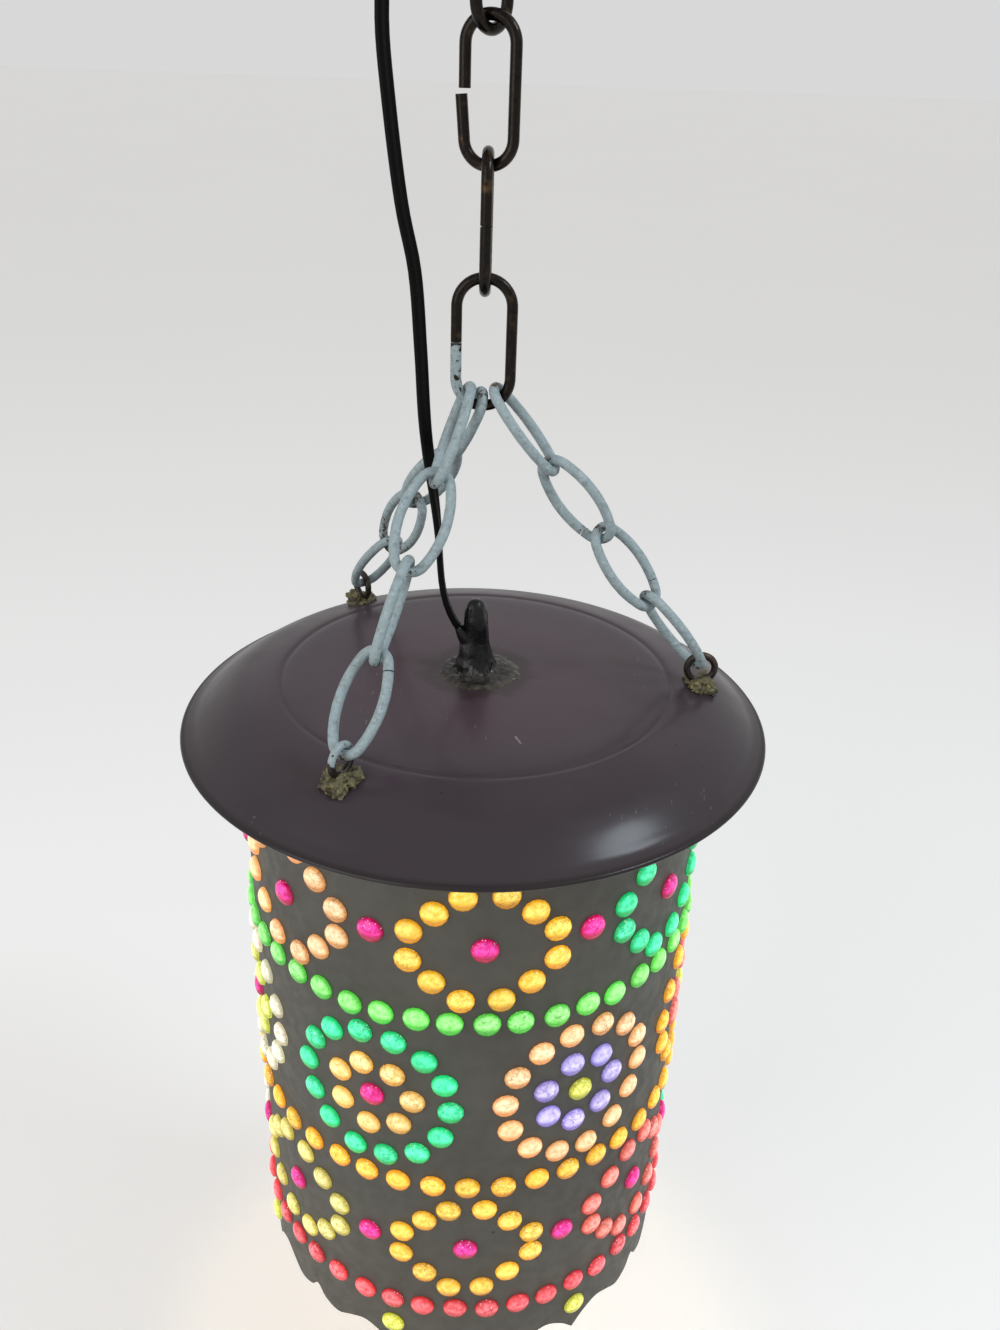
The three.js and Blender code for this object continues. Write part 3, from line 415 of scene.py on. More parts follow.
def cap_enamel(g):
    """Plum-grey enamel under a clear coat, with specks, rubs and a scratch, a painted lighter top and painted
    shade on its shoulder and ring line.
    """
    cap = settings("cap")
    place = g.place()
    x, y, _ = g.axes(place)
    radius = (x * x + y * y) ** 0.5
    uneven = g.grain(70 * MM, 3)
    warm = uneven.between(0.35, 0.65)
    tone = g.mix(g.tint(cap.enamel, 0.9), g.tint(cap.enamel, 1.12), warm)
    # Painted light: the flat top is lighter and warmer towards its middle.
    tone = g.mix(tone, srgb(82, 62, 70), radius.between(84 * MM, 40 * MM) * 0.55)
    # Painted shade: the shoulder, which slopes down and away, is darker.
    shoulder = radius.between(88 * MM, 116 * MM)
    tone = g.mix(tone, srgb(58, 52, 55), shoulder * 0.7)
    stain = (radius.between(34 * MM, 17 * MM) + (g.grain(12 * MM, 4) - 0.5) * 1.6).between(0.35, 0.9)
    tone = g.mix(tone, srgb(44, 34, 33), stain * 0.6)
    # Painted shade in the groove of the pressed ring line, patchy round it.
    wobble = radius + (g.grain(26 * MM, 2) - 0.5) * 3 * MM
    ring = abs(wobble - CAP_RING).between(1.6 * MM, 0.2 * MM) * g.grain(38 * MM, 2).between(0.4, 0.6, 0.15, 1)
    tone = g.mix(tone, srgb(46, 37, 40), ring * 0.4)
    edge = radius.between(123.5 * MM, 126 * MM)
    tone = g.mix(tone, srgb(36, 30, 30), edge * 0.75)
    dust = g.cells(9 * MM).between(0.07, 0.03) * g.grain(50 * MM, 2).between(0.5, 0.58)
    tone = g.mix(tone, srgb(40, 33, 33), dust * 0.8)
    rub = g.grain(4 * MM, 5, g.stretched(place, 2.4, 0.8, 1)).between(0.68, 0.74)
    rub = rub * g.grain(60 * MM).between(0.5, 0.62)
    tone = g.mix(tone, srgb(150, 140, 142), rub * 0.5)
    across = x * SCRATCH_ACROSS[0] + y * SCRATCH_ACROSS[1] - SCRATCH_OFFSET
    across = abs(across + (g.grain(3 * MM, 2) - 0.5) * 1.2 * MM).between(0.55 * MM, 0.2 * MM)
    scratch = across * abs(y - SCRATCH_AT[1]).between(3.2 * MM, 2.2 * MM)
    tone = g.mix(tone, srgb(150, 142, 144), scratch * 0.7)
    film = g.grain(22 * MM, 5)
    g.surface(
        Base_Color=tone,
        Roughness=film.between(0.3, 0.7, 0.3, 0.42) + rub * 0.2,
        Specular_IOR_Level=0.1,
        Coat_Weight=cap.gloss * film.between(0.2, 0.6, 0.7, 1),
        Coat_Roughness=0.2,
        Normal=g.relief(g.grain(5 * MM, 2) * 0.4 + g.grain(34 * MM, 1) * 2, 0.14 * MM, 0.5),
    )


def shade_paint(g):
    """Taupe paint outside and a paler coat inside, with faint rolling marks, drips of dirt and specks, and
    painted light low down outside.
    """
    shade = settings("shade")
    place = g.place()
    x, y, z = g.axes(place)
    radius = (x * x + y * y) ** 0.5
    cloud = g.grain(60 * MM, 3)
    outside = g.mix(g.tint(shade.paint, 0.9), g.tint(shade.paint, 1.14), cloud.between(0.35, 0.65))
    streaks = g.grain(5 * MM, 3, g.stretched(place, 1, 1, 0.07)).between(0.52, 0.7)
    outside = g.mix(outside, srgb(64, 60, 54), streaks * 0.08)
    # Painted light: the lower outside is lighter and warmer, as if lit from below.
    painted_light_low = z.between(RIM - 150 * MM, RIM - 290 * MM)
    outside = g.mix(outside, srgb(92, 86, 74), painted_light_low * 0.35)
    specks = g.cells(12 * MM).between(0.09, 0.04) * g.grain(40 * MM).between(0.48, 0.58)
    outside = g.mix(outside, srgb(40, 36, 34), specks)
    within = radius.between(shade.radius - 0.35 * MM, shade.radius - 0.5 * MM)
    lining = g.mix(g.tint(shade.lining, 0.92), shade.lining, cloud)
    low = z.between(RIM - 280 * MM, RIM - 298 * MM)
    chips = (g.grain(2.6 * MM, 5) + low * 0.1).between(0.67, 0.72)
    tone = g.mix(g.mix(outside, lining, within), srgb(92, 70, 54), chips * 0.6)
    g.surface(
        Base_Color=tone,
        Roughness=g.grain(6 * MM).between(0.3, 0.7, 0.46, 0.62),
        Normal=g.relief(g.grain(1.4 * MM, 2) - chips * 0.8, 0.06 * MM, 0.6),
    )


def glowing_insert(g):
    """Translucent plastic crazed inside, its light from behind a painted glow: brighter above, deep in colour
    at its lower edge as painted shade.
    """
    shade = settings("shade")
    colour = g.attribute("dye", "Color")
    crazing = g.attribute("dye", "Alpha")
    _, _, up = g.axes(g.node("ShaderNodeNewGeometry", output="Normal"))
    place = g.place()
    inputs = {"Vector": place, "Scale": 1 / (3 * MM), "Detail": 3.0}
    drift = g.node("ShaderNodeTexNoise", None, inputs, "Color")
    bent = g.sum_of(place, g.stretched(drift, 2.4 * MM, 2.4 * MM, 1.2 * MM))
    crack = g.cells(3.4 * MM, "DISTANCE_TO_EDGE", g.stretched(bent, 1, 1, 1.6)).between(0.06, 0.0) * crazing
    cloud = g.grain(2.2 * MM, 4)
    # Painted shade: a deeper, darker dye where the dome faces down and near its rim.
    painted_shade_colour = g.node("ShaderNodeVectorMath", {"operation": "MULTIPLY"}, {0: colour, 1: g.tint(colour, 0.66)})
    edge = g.attribute("edge")
    light = g.mix(painted_shade_colour, g.tint(colour, 1.08), up.between(-0.28, 0.04) * edge.between(1.05, 0.82))
    # Painted highlight: a paler glow over the top of the dome, away from its rim.
    pale = up.between(-0.12, 0.1) * edge.between(1.0, 0.66) * cloud.between(0.3, 0.6)
    washed = g.node("ShaderNodeGamma", None, {"Color": colour, "Gamma": 0.55})
    light = g.mix(light, g.tint(washed, 1.18), pale * (0.6 + 0.4 * crazing))
    # Painted glints: small bright spots on the upper side of crazed inserts.
    painted_glints = g.cells(1.5 * MM).between(0.24, 0.08) * up.between(0.05, 0.4) * crazing.between(0.45, 0.9)
    light = g.mix(light, (1.0, 0.9, 0.98), painted_glints * 0.55)
    bright = cloud.between(0.25, 0.75, 0.84, 1.1) * (1 - crack * 0.55)
    # The whole glow is painted light: emission in place of the bulb's light shining through the plastic.
    g.surface(
        Base_Color=g.tint(colour, 0.22),
        Roughness=0.24,
        Emission_Color=g.tint(light, bright),
        Emission_Strength=shade.glow,
        Normal=g.relief(cloud - crack * 0.4, 0.25 * MM, 0.5),
    )


def rubber(g):
    """Black dipped rubber, its raised creases lighter as a painted sheen."""
    folds_and_sheen = g.grain(4 * MM, 4, g.stretched(g.place(), 1, 1, 0.35))
    # Painted sheen: a lighter colour where the rubber's creases stand out; the same noise gives their relief.
    g.surface(
        Base_Color=g.mix(settings("cap").rubber, srgb(24, 26, 28), folds_and_sheen.between(0.5, 0.75) * 0.6),
        Roughness=g.grain(3 * MM, 3).between(0.35, 0.65, 0.16, 0.42),
        Specular_IOR_Level=0.3,
        Normal=g.relief(folds_and_sheen + g.grain(1.2 * MM, 3) * 0.3, 0.6 * MM, 0.8),
    )


def sealant_film(g):
    """Brown-black sealant, thinner and yellower towards its edge."""
    thin = g.attribute("thin")
    worn = (thin + g.grain(4 * MM, 4) - 0.5).between(0.6, 1.05)
    tone = g.mix(settings("cap").sealant, srgb(66, 59, 43), worn)
    tone = g.mix(tone, srgb(19, 17, 16), g.grain(2.4 * MM, 4).between(0.5, 0.66) * 0.8)
    g.surface(
        Base_Color=tone,
        Roughness=g.grain(3 * MM, 3).between(0.35, 0.65, 0.18, 0.55),
        Normal=g.relief(g.grain(2.6 * MM, 5), 0.6 * MM, 0.8),
    )


def vinyl(g):
    """Black vinyl with a faint dust."""
    dust = g.grain(3 * MM, 4).between(0.5, 0.8)
    g.surface(
        Base_Color=g.mix(settings("cord").vinyl, srgb(24, 23, 23), dust * 0.3),
        Roughness=g.grain(2.5 * MM).between(0.3, 0.7, 0.32, 0.46),
        Specular_IOR_Level=0.08,
        Normal=g.relief(g.grain(0.9 * MM, 2), 0.05 * MM, 0.6),
    )


def strap_cloth(g):
    """Woven strap, its ribs across it."""
    kind = {"wave_type": "BANDS", "bands_direction": "Z"}
    inputs = {"Vector": g.place(), "Scale": 160.0, "Distortion": 0.6, "Detail": 1.0, "Detail Scale": 3.0}
    weave = g.node("ShaderNodeTexWave", kind, inputs, "Fac")
    fuzz = g.grain(0.45 * MM, 3)
    colour = settings("cord").strap
    g.surface(
        Base_Color=g.mix(g.tint(colour, 0.7), g.tint(colour, 1.35), weave * 0.5 + fuzz * 0.5),
        Roughness=0.9,
        Sheen_Weight=0.3,
        Normal=g.relief(weave + fuzz * 0.8, 0.2 * MM, 0.8),
    )


def metal_finish(colour, worn, roughness):
    """A writer for plain metal that has gone dull in patches."""

    def write(g):
        dull = g.grain(4 * MM, 4).between(0.42, 0.66)
        g.surface(
            Base_Color=g.mix(colour, worn, dull * 0.8),
            Metallic=0.95,
            Roughness=roughness + dull * 0.22,
            Normal=g.relief(g.grain(0.7 * MM, 3), 0.03 * MM, 0.5),
        )

    return write


def moulded(colour, speck):
    """A writer for hard moulded phenolic."""

    def write(g):
        mottle = g.grain(1.6 * MM, 4).between(0.5, 0.7)
        g.surface(
            Base_Color=g.mix(colour, speck, mottle * 0.5),
            Roughness=g.grain(2 * MM).between(0.3, 0.7, 0.3, 0.42),
            Normal=g.relief(g.grain(0.8 * MM, 2), 0.03 * MM, 0.5),
        )

    return write


def fibre(g):
    """Tan insulating card with long fibres."""
    threads = g.grain(1.2 * MM, 4, g.stretched(g.place(), 1, 1, 0.2))
    g.surface(
        Base_Color=g.mix(srgb(150, 128, 92), srgb(196, 174, 134), threads),
        Roughness=0.85,
        Normal=g.relief(threads, 0.08 * MM, 0.7),
    )


def lit_glass(g):
    """Frosted glass of a lit bulb, warmest round its neck."""
    bulb = settings("bulb")
    _, _, z = g.axes(g.place())
    neck = z.between(RIM - 78 * MM, RIM - 46 * MM)
    g.surface(
        Base_Color=(0.92, 0.9, 0.86),
        Roughness=0.35,
        Emission_Color=g.mix(bulb.light, (0.9, 0.42, 0.16), neck * 0.8 + g.grain(14 * MM) * 0.06),
        Emission_Strength=bulb.power,
        Normal=g.relief(g.grain(0.6 * MM, 2), 0.02 * MM, 0.5),
    )


def pale_floor(g):
    tone = settings("stage").floor
    seen = g.node("ShaderNodeLightPath", output="Is Camera Ray")
    seen = seen.maths("MAXIMUM", seen.also("Is Glossy Ray"))
    g.surface(
        Base_Color=g.tint(tone, 1 + (g.grain(0.9, 2) - 0.5) * 0.04),
        Roughness=0.85,
        Specular_IOR_Level=0.1,
        Emission_Color=g.tint(tone, seen * 0.34),
        Emission_Strength=1.0,
    )


FINISHES = {
    "bronze": bronze_wire,
    "painted": painted_wire,
    "eye": eye_wire,
    "epoxy": epoxy_lump,
    "enamel": cap_enamel,
    "shade": shade_paint,
    "insert": glowing_insert,
    "rubber": rubber,
    "sealant": sealant_film,
    "vinyl": vinyl,
    "strap": strap_cloth,
    "brass": metal_finish(srgb(190, 154, 86), srgb(120, 92, 52), 0.26),
    "zinc": metal_finish(srgb(176, 178, 180), srgb(120, 118, 112), 0.34),
    "phenolic": moulded(srgb(38, 26, 20), srgb(64, 44, 32)),
    "fibre": fibre,
    "glass": lit_glass,
    "floor": pale_floor,
}
made_finishes = {}


def finish_named(name):
    if name not in made_finishes:
        made_finishes[name] = finish(name, FINISHES[name])
    return made_finishes[name]


# Meshes


def cleaned(mesh):
    """The same mesh with nothing doubled and its faces pointing outwards."""
    shell = bmesh.new()
    shell.from_mesh(mesh)
    bmesh.ops.remove_doubles(shell, verts=shell.verts, dist=WELD)
    bmesh.ops.recalc_face_normals(shell, faces=shell.faces)
    shell.to_mesh(mesh)
    shell.free()
    return mesh


def mesh_of(name, points, faces):
    mesh = bpy.data.meshes.new(name)
    mesh.from_pydata([tuple(p) for p in points], [], faces)
    return cleaned(mesh)


def linked(name, data):
    """A new object in the scene."""
    made = bpy.data.objects.new(name, data)
    bpy.context.scene.collection.objects.link(made)
    return made


def smoothed(mesh, sharp):
    mesh.shade_smooth()
    mesh.set_sharp_from_angle(angle=math.radians(sharp))
    return mesh


def show(name, mesh, finish_name, sharp=40):
    """An object of a mesh whose place is in its points."""
    smoothed(mesh, sharp)
    mesh.materials.clear()
    mesh.materials.append(finish_named(finish_name))
    return linked(name, mesh)


def finish_node(node, finish_name):
    """A solid that is shown as it is takes one of the finishes."""
    materials = NODES[node].data.materials
    materials.clear()
    materials.append(finish_named(finish_name))


def stand_for(piece, slot, *nodes):
    """A piece rides where its CAD nodes ride and stands for them, which are hidden. The slot is not used."""
    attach(piece, NODES[nodes[0]]["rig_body"])
    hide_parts(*nodes)
    return piece


def loft(rings, round_again=False):
    """Points and faces of a skin over rings of points."""
    sides, count = len(rings[0]), len(rings)
    points = [p for ring in rings for p in ring]
    faces = []
    for i in range(count if round_again else count - 1):
        low, high = i * sides, (i + 1) % count * sides
        faces += [(low + j, low + (j + 1) % sides, high + (j + 1) % sides, high + j) for j in range(sides)]
    if not round_again:
        faces += [tuple(range(sides)), tuple((count - 1) * sides + j for j in reversed(range(sides)))]
    return points, faces


def once_round(count):
    """Evenly spaced angles, once round."""
    return [2 * math.pi * i / count for i in range(count)]


def rounded_box(half_wide, half_high, count, power_wide, power_high):
    """The outline of a rectangle whose corners are rounder the higher the powers, up to 1 for an ellipse."""
    points = []
    for angle in once_round(count):
        c, s = math.cos(angle), math.sin(angle)
        wide = half_wide * math.copysign(abs(c) ** power_wide, c)
        points.append((wide, half_high * math.copysign(abs(s) ** power_high, s)))
    return points


def turned(profile, segments, ring=False, height=RIM):
    """Points and faces of a profile of [radius, height] in millimetres, turned about the lamp's middle."""
    rings = []
    for angle in once_round(segments):
        c, s = math.cos(angle), math.sin(angle)
        rings.append([Vector((r * MM * c, r * MM * s, z * MM + height)) for r, z in profile])
    points, faces = loft(rings, round_again=True)
    sides = len(profile)
    if not ring:
        faces = [f for f in faces if not (f[0] % sides == sides - 1 and f[1] % sides == 0)]
    return points, [f for f in faces if len({tuple(points[i]) for i in f}) > 2]


def joined(*parts):
    """Points and faces of several closed skins in one mesh."""
    points, faces = [], []
    for more_points, more_faces in parts:
        start = len(points)
        points += list(more_points)
        faces += [tuple(start + i for i in f) for f in more_faces]
    return points, faces


def flowing(points, count):
    """A smooth line through points, as many points on each span."""
    points = [Vector(p) for p in points]
    line = []
    for i in range(len(points) - 1):
        one, two = points[i], points[i + 1]
        before = points[i - 1] if i else one * 2 - two
        after = points[i + 2] if i + 2 < len(points) else two * 2 - one
        gaps = [max((b - a).length, 1e-9) ** 0.5 for a, b in ((before, one), (one, two), (two, after))]
        slope_one = (one - before) / gaps[0] - (two - before) / (gaps[0] + gaps[1]) + (two - one) / gaps[1]
        slope_two = (two - one) / gaps[1] - (after - one) / (gaps[1] + gaps[2]) + (after - two) / gaps[2]
        slope_one, slope_two = slope_one * gaps[1], slope_two * gaps[1]
        for j in range(count):
            t = j / count
            line.append(
                one * (2 * t**3 - 3 * t**2 + 1)
                + slope_one * (t**3 - 2 * t**2 + t)
                + two * (3 * t**2 - 2 * t**3)
                + slope_two * (t**3 - t**2)
            )
    line.append(points[-1])
    return line


def curved(points, count):
    """A smooth line through flat points."""
    return [(x, y) for x, y, _ in flowing([(x, y, 0) for x, y in points], count)]


def evenly(line, step):
    """The same line with its points one step apart."""
    lengths = [0.0]
    for a, b in zip(line, line[1:]):
        lengths.append(lengths[-1] + (b - a).length)
    count = max(2, round(lengths[-1] / step))
    out, i = [], 0
    for k in range(count + 1):
        want = lengths[-1] * k / count
        while i < len(line) - 2 and lengths[i + 1] < want:
            i += 1
        part = (want - lengths[i]) / max(lengths[i + 1] - lengths[i], 1e-12)
        out.append(line[i].lerp(line[i + 1], min(max(part, 0), 1)))
    return out


def smoothstep(value, low, high):
    part = min(max((value - low) / (high - low), 0), 1)
    return part * part * (3 - 2 * part)


def bow(cx, cy, radius, start, end, steps):
    """Points of an arc, in degrees, in a flat plane."""
    angles = [math.radians(start + (end - start) * i / steps) for i in range(steps + 1)]
    return [(cx + radius * math.cos(a), cy + radius * math.sin(a)) for a in angles]


def paint_attribute(mesh, name, value):
    """A number at each point, from a function of the point."""
    layer = mesh.attributes.new(name, "FLOAT", "POINT")
    layer.data.foreach_set("value", [value(v.co) for v in mesh.vertices])


# Geometry node trees


def geometry_group(name, inputs):
    """A new geometry tree with named inputs, its graph and its inputs' values."""
    tree = bpy.data.node_groups.new(name, "GeometryNodeTree")
    graph = Graph(tree)
    tree.interface.new_socket("Geometry", in_out="INPUT", socket_type="NodeSocketGeometry")
    for label, kind, value in inputs:
        socket = tree.interface.new_socket(label, in_out="INPUT", socket_type="NodeSocket" + kind)
        if value is not None:
            socket.default_value = value
    tree.interface.new_socket("Geometry", in_out="OUTPUT", socket_type="NodeSocketGeometry")
    start = graph.node("NodeGroupInput")
    return tree, graph, {label: start.also(label) for label in ["Geometry", *(i[0] for i in inputs)]}


def end_of_tree(graph, shape, material):
    """Every tree ends the same way: real geometry with its material."""
    real = graph.node("GeometryNodeRealizeInstances", None, {0: shape})
    painted = graph.node("GeometryNodeSetMaterial", None, {"Geometry": real, "Material": material})
    graph.node("NodeGroupOutput", None, {0: painted})


def wire_tree():
    """A wire along a curve: round, with even rings of points, closed ends and a little unevenness."""
    tree, g, given = geometry_group(
        "Wire along a line",
        [
            ("Wire", "Float", 4.3 * MM),
            ("Sides", "Int", 16),
            ("Step", "Float", 1.1 * MM),
            ("Lumps", "Float", 0.0),
            ("Lump size", "Float", 3 * MM),
            ("Material", "Material", None),
        ],
    )
    inputs = {"Curve": given["Geometry"], "Length": given["Step"]}
    even = g.node("GeometryNodeResampleCurve", {"mode": "LENGTH"}, inputs)
    inputs = {"Resolution": given["Sides"], "Radius": given["Wire"] * 0.5}
    section = g.node("GeometryNodeCurvePrimitiveCircle", None, inputs, "Curve")
    values = {"Curve": even, "Profile Curve": section, "Fill Caps": True}
    skin = g.node("GeometryNodeCurveToMesh", None, values)
    inputs = {"Vector": g.node("GeometryNodeInputPosition"), "Scale": 1 / given["Lump size"], "Detail": 2.0}
    lumps = g.node("ShaderNodeTexNoise", None, inputs, "Fac")
    inputs = {0: g.node("GeometryNodeInputNormal"), "Scale": (lumps - 0.5) * given["Lumps"] * 2}
    push = g.node("ShaderNodeVectorMath", {"operation": "SCALE"}, inputs)
    uneven = g.node("GeometryNodeSetPosition", None, {"Geometry": skin, "Offset": push})
    end_of_tree(g, uneven, given["Material"])
    return tree


def on_points(g, points, shape, spin=None):
    """A shape on each point, facing out from the shade's middle and spun about its own line."""
    outward = g.stretched(g.node("GeometryNodeInputPosition"), 1, 1, 0)
    turn = g.node("FunctionNodeAlignRotationToVector", {"axis": "Z"}, {"Vector": outward})
    if spin:
        about = g.node("ShaderNodeCombineXYZ", None, {"Z": spin})
        turn = g.node("FunctionNodeRotateRotation", {"rotation_space": "LOCAL"}, {0: turn, 1: about})
    inputs = {"Points": points, "Instance": shape, "Rotation": turn}
    return g.node("GeometryNodeInstanceOnPoints", None, inputs)


def inserts_tree():
    """One domed insert on each point of a shade."""
    tree, g, given = geometry_group(
        "Inserts on a shade",
        [
            ("Insert", "Object", None),
            ("Turn", "Float", 6.28),
            ("Seed", "Int", 4),
            ("Material", "Material", None),
        ],
    )
    shape = g.node("GeometryNodeObjectInfo", None, {"Object": given["Insert"]}, "Geometry")
    inputs = {2: 0.0, 3: given["Turn"], "Seed": given["Seed"]}
    spin = g.node("FunctionNodeRandomValue", {"data_type": "FLOAT"}, inputs, 1)
    end_of_tree(g, on_points(g, given["Geometry"], shape, spin), given["Material"])
    return tree


def punched_tree():
    """A sheet with a round hole at each of another object's points."""
    tree, g, given = geometry_group(
        "Punched sheet",
        [
            ("Places", "Object", None),
            ("Hole", "Float", 10.3 * MM),
            ("Reach", "Float", 12 * MM),
            ("Material", "Material", None),
        ],
    )
    places = g.node("GeometryNodeObjectInfo", None, {"Object": given["Places"]}, "Geometry")
    inputs = {"Vertices": 18, "Radius": given["Hole"] * 0.5, "Depth": given["Reach"]}
    punch = g.node("GeometryNodeMeshCylinder", None, inputs, "Mesh")
    real = g.node("GeometryNodeRealizeInstances", None, {0: on_points(g, places, punch)})
    inputs = {"Mesh 1": given["Geometry"], "Mesh 2": real}
    sheet = g.node("GeometryNodeMeshBoolean", {"operation": "DIFFERENCE", "solver": "EXACT"}, inputs)
    end_of_tree(g, sheet, given["Material"])
    return tree


made_trees = {}


def grown(source, build, values, name):
    """The plain mesh that a tree makes of an object, which is then removed."""
    if build not in made_trees:
        made_trees[build] = build()
    tree = made_trees[build]
    modifier = source.modifiers.new("Shape", "NODES")
    modifier.node_group = tree
    sockets = {s.name: s.identifier for s in tree.interface.items_tree if s.in_out == "INPUT"}
    for label, value in values.items():
        modifier[sockets[label]] = value
    bpy.context.view_layer.update()
    ready = source.evaluated_get(bpy.context.evaluated_depsgraph_get())
    mesh = bpy.data.meshes.new_from_object(ready)
    mesh.name = name
    data = source.data
    bpy.data.objects.remove(source)
    (bpy.data.curves if isinstance(data, bpy.types.Curve) else bpy.data.meshes).remove(data)
    if not mesh.polygons:
        raise RuntimeError(name + " came out empty")
    return mesh


def add_line(curve, points, closed):
    """A line of points in a curve, straight from each to the next."""
    spline = curve.splines.new("POLY")
    spline.points.add(len(points) - 1)
    spline.use_cyclic_u = closed
    for target, p in zip(spline.points, points):
        target.co = (*p, 1)


def wire_mesh(name, lines, wire, finish_name, lumps=0.0, step=None):
    """A wire along one or more lines of points. A line that comes back to its start is closed."""
    chain = settings("chain")
    curve = bpy.data.curves.new(name + "_line", "CURVE")
    curve.dimensions = "3D"
    for line in lines:
        closed = (line[0] - line[-1]).length < WELD
        add_line(curve, line[:-1] if closed else line, closed)
    values = {
        "Wire": wire,
        "Sides": chain.sides,
        "Step": step or chain.step,
        "Lumps": lumps,
        "Material": finish_named(finish_name),
    }
    return grown(linked(name + "_line", curve), wire_tree, values, name)


# The camera and the stage

SENSOR = 36
FOCAL_PIXELS = 1200
PICTURE_PIXELS = 1330  # the longer side of the picture
CAMERA_AT = (10.4, -463.9, -223.45)
CAMERA_PITCH = 27.16
CAMERA_ROLL = 1.96
SHOULDER = (59, -103, 6)  # where the cap mirrors the window lamp, from the middle of its rim
WINDOW_TOWARD = (0.652, -0.132, 0.747)
WINDOW_DISTANCE = 1.5
WINDOW_SIZE = (0.5, 0.34)
WINDOW_COLOUR = (0.8, 0.92, 1)
FILL_FROM = (-1.3, -1.3, 0.7)
FILL_SIZE = (1.5, 1.5)
BACKGROUND = 0.69  # strength of the sky where the camera or a mirror shows it
FLOOR_REACH = 30


class SWAG_OT_camera(bpy.types.Operator):
    """Place the camera where the photograph was taken"""

    bl_idname = "swag_lamp.camera"
    bl_label = "Camera"

    def execute(self, context):
        data = bpy.data.cameras.new("camera")
        data.sensor_fit = "AUTO"
        data.sensor_width = SENSOR
        data.lens = SENSOR * FOCAL_PIXELS / PICTURE_PIXELS
        data.clip_start = 0.01
        camera = linked("camera", data)
        pitch, roll = math.radians(CAMERA_PITCH), math.radians(CAMERA_ROLL)
        turn = Matrix.Rotation(math.pi / 2 - pitch, 4, "X") @ Matrix.Rotation(roll, 4, "Z")
        camera.matrix_world = Matrix.Translation(mm(*CAMERA_AT)) @ turn
        context.scene.camera = camera
        return {"FINISHED"}


def soft_lamp(name, at, toward, size, power, colour=(1, 1, 1)):
    data = bpy.data.lights.new(name, "AREA")
    data.shape = "RECTANGLE"
    data.size, data.size_y = size
    data.energy = power
    data.color = colour
    turn = (toward - at).to_track_quat("-Z", "Y").to_matrix().to_4x4()
    linked(name, data).matrix_world = Matrix.Translation(at) @ turn


class SWAG_OT_stage(bpy.types.Operator):
    """Lay the pale floor and set the soft lamps"""

    bl_idname = "swag_lamp.stage"
    bl_label = "Floor and lamps"

    def execute(self, context):
        stage = settings("stage")
        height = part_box("shade")[0].z - stage.drop
        signs = ((-1, -1), (1, -1), (1, 1), (-1, 1))
        corners = [Vector((x * FLOOR_REACH, y * FLOOR_REACH, height)) for x, y in signs]
        floor = show("floor", mesh_of("floor", corners, [(0, 1, 2, 3)]), "floor")
        middle = Vector((0, 0, RIM))
        shoulder = middle + mm(*SHOULDER)
        window = shoulder + Vector(WINDOW_TOWARD) * WINDOW_DISTANCE
        soft_lamp("window_lamp", window, shoulder, WINDOW_SIZE, stage.window, WINDOW_COLOUR)
        soft_lamp("fill_lamp", Vector(FILL_FROM) + middle, middle, FILL_SIZE, stage.fill)
        world = bpy.data.worlds.new("sky")
        world.use_nodes = True
        g = Graph(world.node_tree)
        seen = path = g.node("ShaderNodeLightPath", output="Is Camera Ray")
        for ray in ("Is Transmission Ray", "Is Glossy Ray"):
            seen = seen.maths("MAXIMUM", path.also(ray))
        strength = stage.sky + seen * (BACKGROUND - stage.sky)
        sky = g.node("ShaderNodeBackground", None, {"Color": (1, 1, 1, 1), "Strength": strength})
        g.node("ShaderNodeOutputWorld", None, {"Surface": sky})
        context.scene.world = world
        context.scene.view_settings.view_transform = "Standard"
        return {"FINISHED"}


# The cord, its coil, tie and plug

COIL_LAYERS = 4
COIL_LAYER_TURNS = 3.875
COIL_CLIMB_TURNS = 0.5
COIL_TURNS = 17.25
COIL_STEPS = 30
COIL_OUTER_RADIUS = 37.2
COIL_RADIAL_STEP = 3.2
COIL_LAYER_STEP = 5.7
COIL_DIP = 1.6
COIL_START = -20
COIL_CENTRE = (-23.2, 32.6, 327)
CORD_ROUTE = [
    (-3.4, 0, 36.2),
    (-9.6, 0, 45),
    (-12.6, 0.3, 51.5),
    (-14.9, 1, 60),
    (-17.5, 2, 89.6),
    (-22.4, 3, 127),
    (-24.4, 4, 158.2),
    (-26.8, 5, 187.8),
    (-31.5, 6, 210),
    (-36.2, 7, 246),
    (-38.2, 7.6, 270),
    (-37.2, 6.4, 285),
    (-34, 3.3, 298),
]
CORD_TWIST = (70, 150)
COIL_RUN = 4 * MM  # straight cord next to the coil
LEAD_HEIGHTS = (-1.2, 8, 18, 28, 35.4)
LEAD_SIZE = (4.6 * MM, 2.3 * MM)
STRAP = 1.3 * MM
PLUG_REAR = over_rim(-18.5, 39, 373.4)
PLUG_LENGTH = 27
PLUG_WIDTH = 21
PLUG_THICKNESS = 12
CHAIN_TWISTS = [0, 76, -16, 55, -12, 90, 0]


